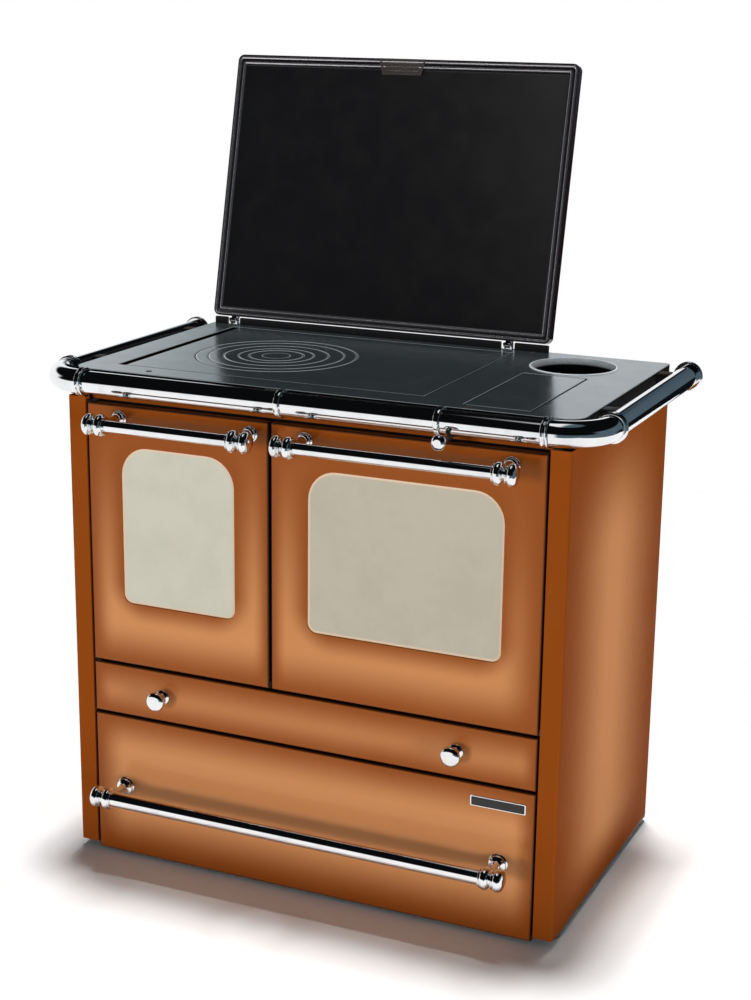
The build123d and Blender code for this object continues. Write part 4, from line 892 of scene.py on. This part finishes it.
def makeRearStrip():
    # black strip standing along the hob's rear edge, in spans open where the hinges stand
    strip = {"y": (506.5, 513.5), "z": (861, 874.6), "spans": ((-440, -413.5), (-388, 137), (162.5, 226))}
    bm = bmesh.new()
    for x0, x1 in strip["spans"]:
        slab(bm, x0, x1, *strip["y"], *strip["z"], 1.6)
    finishPiece("hob_rear_strip", bm, blackEnamel, "stove")


makeRingPlate()
makeHobFrame()
makeHobScrews()
makeFlueCollar()
makeRearStrip()
inner, middle, outer = hob["radii"]
makeHobRing("hob_ring_outer", middle, outer, "outer_ring")
makeHobRing("hob_ring_middle", inner, middle, "middle_ring")
makeHobDisc()
print("hob made")


cover = {"box": (-444, 228, 12, 502), "under": 863, "top": 885, "corner": 12, "hinge": (510, 868.5),
         "open": 103, "pull": (46, 38, 29), "ribs": 3, "beads": ((4.7, 3.2, 0.0), (14.0, 2.8, 0.4)),
         "sheet": 0.0012}
swing = (Matrix.Translation((0, *cover["hinge"])) @ Matrix.Rotation(-radians(cover["open"]), 4, "X")
         @ Matrix.Translation((0, -cover["hinge"][0], -cover["hinge"][1])))


def coverLoop(inset, z):
    r = max(cover["corner"] - inset, 2.5)
    return lying(roundedLoop(cover["box"], inset, r, r), z)


def makeCover():
    under, top = cover["under"], cover["top"]
    bm = bmesh.new()
    shell = [(8, under + 2), (7.6, under + 1.6), (1.6, under + 1.4), (1.2, under), (0.3, under + 0.4),
             (0, under + 1.4), (0, top - 4.6), (0.3, top - 3.4), (3.2, top - 0.5), (4.6, top)]
    inside = [(8, under + 2), (2, under + 2), (2, top - 4), (2.5, top - 3.4)]
    for side in (shell, inside):
        loft(bm, [coverLoop(inset, z) for inset, z in side], (False, True))
    bmesh.ops.remove_doubles(bm, verts=bm.verts, dist=0.001)
    bm.transform(swing)
    finishPiece("cover_shell_pressed", bm, coverEnamel, "cover", ("cover_shell",), 50)
    bm = bmesh.new()
    for inset, radius, rise in cover["beads"]:
        sweep(bm, coverLoop(inset, under + radius + rise), radius, 12, ring=True)
    bm.transform(swing)
    finishPiece("cover_trim_beads", bm, satinSteel, "cover", (), 60)
    bm = bmesh.new()
    tray = [(2.4, 2), (14.5, 2), (15.6, 2.4), (17, 4), (18.4, 6.4), (20, 7)]
    loft(bm, [coverLoop(inset, under + rise) for inset, rise in tray], (False, True))
    bm.transform(swing)
    made = finishPiece("cover_tray_pressed", bm, blackEnamel, "cover", ("cover_tray",))
    thick = made.modifiers.new("sheet", "SOLIDIFY")
    thick.thickness = cover["sheet"]
    thick.offset = 0


def makeCoverPull():
    x0, x1, y0, _ = cover["box"]
    middle = (x0 + x1) / 2
    wide, root, depth = cover["pull"]
    z = cover["under"]

    def outline(inset, height):
        a, b = wide - inset * 1.2, root - inset
        near, far = y0 + inset, y0 + depth - inset
        return [(middle - a, near, height), (middle + a, near, height), (middle + b, far, height),
                (middle - b, far, height)]

    bm = bmesh.new()
    loft(bm, [outline(0.4, z + 2), outline(0, z + 1.6), outline(0, z + 0.4), outline(0.5, z), outline(3.4, z),
              outline(4.2, z + 0.9)], (True, True))
    half = root - 5
    tip = [(0, 0), (0.7, 0.2), (1.0, 1.2)]
    rib = tip + [(r, 2 * half - h) for r, h in reversed(tip)]
    for n in range(cover["ribs"]):
        y = y0 + (n + 1) * depth / (cover["ribs"] + 1)
        turn(bm, rib, facing(middle - half, y, z + 0.9, (1, 0, 0)), 12)
    bm.transform(swing)
    finishPiece("cover_pull_ribbed", bm, pullSteel, "cover", ("cover_pull",))


makeCover()
makeCoverPull()
print("cover made")


# the side's pale middle band is partly sprayed tone and partly a painted highlight
sidePanel = {"side": True, "panel": (0, 534, 14, 838), "falls": (300, 345, 110, 240), "pale": 1.22,
             "gloss": 0.003, "dull": 0.2}
sideEnamel = enamel("side_panel_enamel", sidePanel)
keptShapes = (          # material, slot, edge radius, nodes
    (sideEnamel, "enamel", 0.4, "side_panel_left side_panel_right top_fascia"),
    (zinc, "zinc_sheet", 0.3, "back_panel inner_liner lower_shelf ash_drawer_box ash_pan wood_drawer_box"),
    (darkSteel, "dark_steel", 0.3, "back_screws damper_gate middle_deck drawer_runners door_hinge_pins"),
    (darkSteel, "dark_steel", 0.4, "smoke_box"),
    (darkSteel, "dark_steel", 0.5, "base_frame"),
    (darkSteel, "dark_steel", 1.0, "levelling_feet"),
    (castIron, "cast_iron", 0.5, "front_frame fire_grate firebox_door_frame oven_door_frame"),
    (castIron, "cast_iron", 0.6, "rail_brackets"),
    (castIron, "cast_iron", 0.8, "firebox_shell"),
    (firebrick, "firebrick", 1.2, "firebricks"),
    (ovenSteel, "oven_steel", 0.4, "oven_box rack_rails"),
    (blackEnamel, "dark_enamel", 0.3, "baking_tray"),
    (chrome, "chrome", 0.3, "cover_hinge_leaves cover_hinge_brackets cover_hinge_pins"),
)
for material, slot, edge, nodes in keptShapes:
    for node in nodes.split():
        refined(node, material, edge)
print("casing and inside finished")


def pathAlong(points, step):
    # closed path with evenly spaced points
    made = []
    for n, point in enumerate(points):
        start, end = Vector(point), Vector(points[(n + 1) % len(points)])
        count = max(1, round((end - start).length / step))
        made += [start.lerp(end, k / count) for k in range(count)]
    return made


seal = {"grow": 10, "mouth": (440, 760), "corner": 9.5, "y": 25.85, "radius": 3.5, "swell": 0.33, "step": 2.6,
        "twist": 0.8, "sides": 12}


def makeSeal(name, x0, x1):
    # plaited rope: a tube whose radius swells along crossing helices
    outline = roundedLoop((x0, x1, *seal["mouth"]), -seal["grow"], seal["corner"], seal["corner"], 6)
    path = pathAlong(standing(outline, seal["y"]), seal["step"])
    bm = bmesh.new()
    sweep(bm, path, seal["radius"], seal["sides"], ring=True)
    bm.verts.ensure_lookup_table()
    for n, centre in enumerate(path):
        for k in range(seal["sides"]):
            v = bm.verts[n * seal["sides"] + k]
            a, b = n * seal["twist"], tau * k / seal["sides"]
            wave = abs(sin(a + b)) + abs(sin(a - b))
            v.co = centre + (v.co - centre) * (1 + seal["swell"] * (wave - 1) / seal["radius"])
    finishPiece(name + "_rope", bm, rope, name.removesuffix("_seal"), (name,), 80)


rack = {"box": (6.05, 335.45, 58, 422), "z": 585.5, "wire": 2.5, "rung": 1.5, "rungs": 9, "corner": 9}


def makeRack():
    x0, x1, y0, y1 = rack["box"]
    w, z = rack["wire"], rack["z"]
    bm = bmesh.new()
    sweep(bm, lying(roundedLoop(rack["box"], w, rack["corner"], rack["corner"], 6), z), w, 12, ring=True)
    for n in range(rack["rungs"]):
        y = y0 + (n + 1) * (y1 - y0) / (rack["rungs"] + 1)
        sweep(bm, [(x0 + w, y, z), (x1 - w, y, z)], rack["rung"], 10)
    finishPiece("oven_rack_wires", bm, chrome, "stove", ("oven_rack",), 60)


makeSeal("firebox_door_seal", -366.75, -102.75)
makeSeal("oven_door_seal", 0.75, 340.75)
makeRack()


louvres = {"x": (-220, 0, 220), "z": (178.5, 597.5), "rows": 5, "pitch": 18, "half": 37, "back": 533.9,
           "rise": 3.2, "foot": 3.2, "mouth": 6, "drop": 2.6, "drawIn": 3.5}
plate = {"box": (294, 388, 223, 241), "depth": 1.4, "border": 1.6, "corner": 1.5}


def makeLouvres():
    # pressed hoods over the slots of the back panel
    bm = bmesh.new()
    for x in louvres["x"]:
        for middle in louvres["z"]:
            for row in range(louvres["rows"]):
                z = middle + (row - (louvres["rows"] - 1) / 2) * louvres["pitch"]
                loops = []
                for n in range(7):
                    a = radians(90 * n / 6)
                    half = louvres["half"] - louvres["drawIn"] * (1 - cos(a))
                    y = louvres["back"] + louvres["rise"] * sin(a)
                    low = z - louvres["foot"]
                    top = z + louvres["mouth"] - louvres["drop"] * sin(a) * sin(a)
                    loops.append([(x - half, y, low), (x + half, y, low), (x + half - 1, y, top),
                                  (x - half + 1, y, top)])
                loft(bm, loops, (True, True))
    finishPiece("back_louvres_pressed", bm, zinc, "stove")


def makeBarePlate():
    # blank plate: bright raised border round a dark field
    d, b = plate["depth"], plate["border"]

    def level(inset, y):
        return standing(roundedLoop(plate["box"], inset, plate["corner"], plate["corner"], 3), y)

    bm = bmesh.new()
    loft(bm, [level(0, 0.05), level(0, 0.5 - d), level(0.5, -d), level(b, -d), level(b + 0.5, 0.4 - d),
              level(b + 0.5, 0.05)], ring=True)
    finishPiece("bare_plate_border", bm, chrome, "wood_drawer")
    bm = bmesh.new()
    loft(bm, [level(b + 0.4, 0.05), level(b + 0.4, 0.6 - d), level(b + 1.6, 0.35 - d)], (True, True))
    finishPiece("bare_plate_field", bm, blackEnamel, "wood_drawer")


makeLouvres()
makeBarePlate()
print("seals, rack and trim made")


floorLook = {"half": 2.6, "color": (0.94, 0.94, 0.94, 1), "rough": 0.9}


def makeFloor():
    bm = bmesh.new()
    bmesh.ops.create_grid(bm, x_segments=2, y_segments=2, size=floorLook["half"])
    mesh = bpy.data.meshes.new("floor")
    bm.to_mesh(mesh)
    bm.free()
    made = addObject("floor", mesh)
    material = bpy.data.materials.new("floor_white")
    material.use_nodes = True
    tree = material.node_tree
    feed(tree, tree.nodes["Principled BSDF"].inputs, {
        "Base Color": floorLook["color"], "Roughness": floorLook["rough"], "Specular IOR Level": 0.0})
    mesh.materials.append(material)


room = {  # where each tone starts and ends along a direction's x, y or z, and the colours of the tones
    "ceilingZ": (0.30, 0.42), "frontY": (-0.05, -0.35), "frontZ": (0.03, 0.12), "softboxZ": (0.93, 0.97),
    "rightX": (-0.12, 0.06), "behindY": (0.55, 0.75), "lowZ": (-0.03, -0.09), "lowX": (-0.12, -0.02),
    "horizonZ": (-0.05, 0.0), "white": (1, 1, 1, 1), "rightWall": (0.085, 0.125, 0.15, 1),
    "lowWall": (0.004, 0.005, 0.006, 1), "dark": (0.003, 0.0035, 0.004, 1), "ground": (0.95, 0.95, 0.95, 1),
    "sky": (0.06, 0.06, 0.061, 1),
    # (x, colour) of the panels behind the stove
    "panels": ((-0.53, (0.96, 0.98, 1.0)), (-0.485, (0.62, 0.66, 0.68)), (-0.43, (0.13, 0.15, 0.165)),
               (-0.38, (0.20, 0.225, 0.24)), (-0.32, (0.95, 0.97, 1.0)), (-0.24, (1.0, 1.0, 1.0)),
               (-0.20, (0.01, 0.01, 0.012)), (-0.13, (0.01, 0.01, 0.012)), (-0.09, (0.055, 0.085, 0.11)),
               (0.30, (0.075, 0.11, 0.14)))}


def makeWorld():
    # white for the camera; for bounced light a dim sky over a white ground; polished metal also sees a dark
    # ceiling, a grey wall on its right and a wall of light and dark panels behind
    world = bpy.data.worlds.new("studio")
    bpy.context.scene.world = world
    world.use_nodes = True
    tree = world.node_tree
    back = tree.nodes["Background"]
    split = addNode(tree, "SeparateXYZ", {0: addNode(tree, "TexCoord").outputs["Generated"]}).outputs

    def along(span):
        return ramp(tree, split[span[-1]], *room[span])

    front = calc(tree, "MULTIPLY", along("frontY"), along("frontZ"))
    dark = calc(tree, "MAXIMUM", along("ceilingZ"), front)
    dark = calc(tree, "SUBTRACT", dark, along("softboxZ"), clamp=True)
    wall = mixed(tree, along("rightX"), room["white"], room["rightWall"])
    panels = addNode(tree, "ValToRGB")
    stops = panels.color_ramp.elements
    for place, shade in room["panels"]:
        stop = stops.new((place + 1.0) / 2)
        stop.color = (*shade, 1)
    stops.remove(stops[-1])
    stops.remove(stops[0])
    feed(tree, panels.inputs, {0: calc(tree, "MULTIPLY", calc(tree, "ADD", split["X"], 1.0), 0.5)})
    behind = along("behindY")
    wall = mixed(tree, behind, wall, panels.outputs[0])
    low = calc(tree, "MULTIPLY", along("lowZ"), along("lowX"))
    wall = mixed(tree, calc(tree, "MULTIPLY", low, behind), wall, room["lowWall"])
    seen = mixed(tree, dark, wall, room["dark"])
    sky = mixed(tree, along("horizonZ"), room["ground"], room["sky"])
    path = addNode(tree, "LightPath").outputs
    polished = calc(tree, "MAXIMUM", path["Is Glossy Ray"], path["Is Transmission Ray"])
    color = mixed(tree, polished, sky, seen)
    feed(tree, back.inputs, {
        "Color": mixed(tree, path["Is Camera Ray"], color, room["white"]), "Strength": 1.0})


def awayTo(azimuth, elevation):
    # direction from the stove, azimuth 0 straight in front of it
    a, e = radians(azimuth), radians(elevation)
    return Vector((sin(a) * cos(e), -cos(a) * cos(e), sin(e)))


suns = {"overhead": {"azimuth": 195, "elevation": 84, "strength": 3.0, "size": 8},
        "front": {"azimuth": -18, "elevation": 2, "strength": 1.75, "size": 16},
        "side": {"azimuth": 66, "elevation": 2, "strength": 1.33, "size": 16},
        "back": {"azimuth": 165, "elevation": 4, "strength": 1.0, "size": 40}}


def makeSun(name, values):
    light = bpy.data.lights.new(name, "SUN")
    light.energy = values["strength"]
    light.angle = radians(values["size"])
    made = addObject(name, light)
    made.rotation_mode = "QUATERNION"
    made.rotation_quaternion = awayTo(values["azimuth"], values["elevation"]).to_track_quat("Z", "Y")
    made.visible_glossy = False


view = {"place": (1.2532, faceY - 2.5469, 1.4695), "azimuth": 23.94, "elevation": 15.33, "roll": 0.72,
        "lens": 66.60}


def makeCamera():
    data = bpy.data.cameras.new("view")
    data.lens = view["lens"]
    made = addObject("view", data)
    back = awayTo(view["azimuth"], view["elevation"])
    r = radians(view["roll"])
    right = (-back).cross(Vector((0, 0, 1))).normalized()
    up = right.cross(-back)
    x = right * cos(r) + up * sin(r)
    y = up * cos(r) - right * sin(r)
    turned = Matrix((x, y, back)).transposed().to_4x4()
    made.matrix_world = Matrix.Translation(view["place"]) @ turned
    bpy.context.scene.camera = made


makeFloor()
makeWorld()
for name, values in suns.items():
    makeSun(name, values)
makeCamera()
bpy.context.scene.view_settings.view_transform = "Standard"

print("scene made")
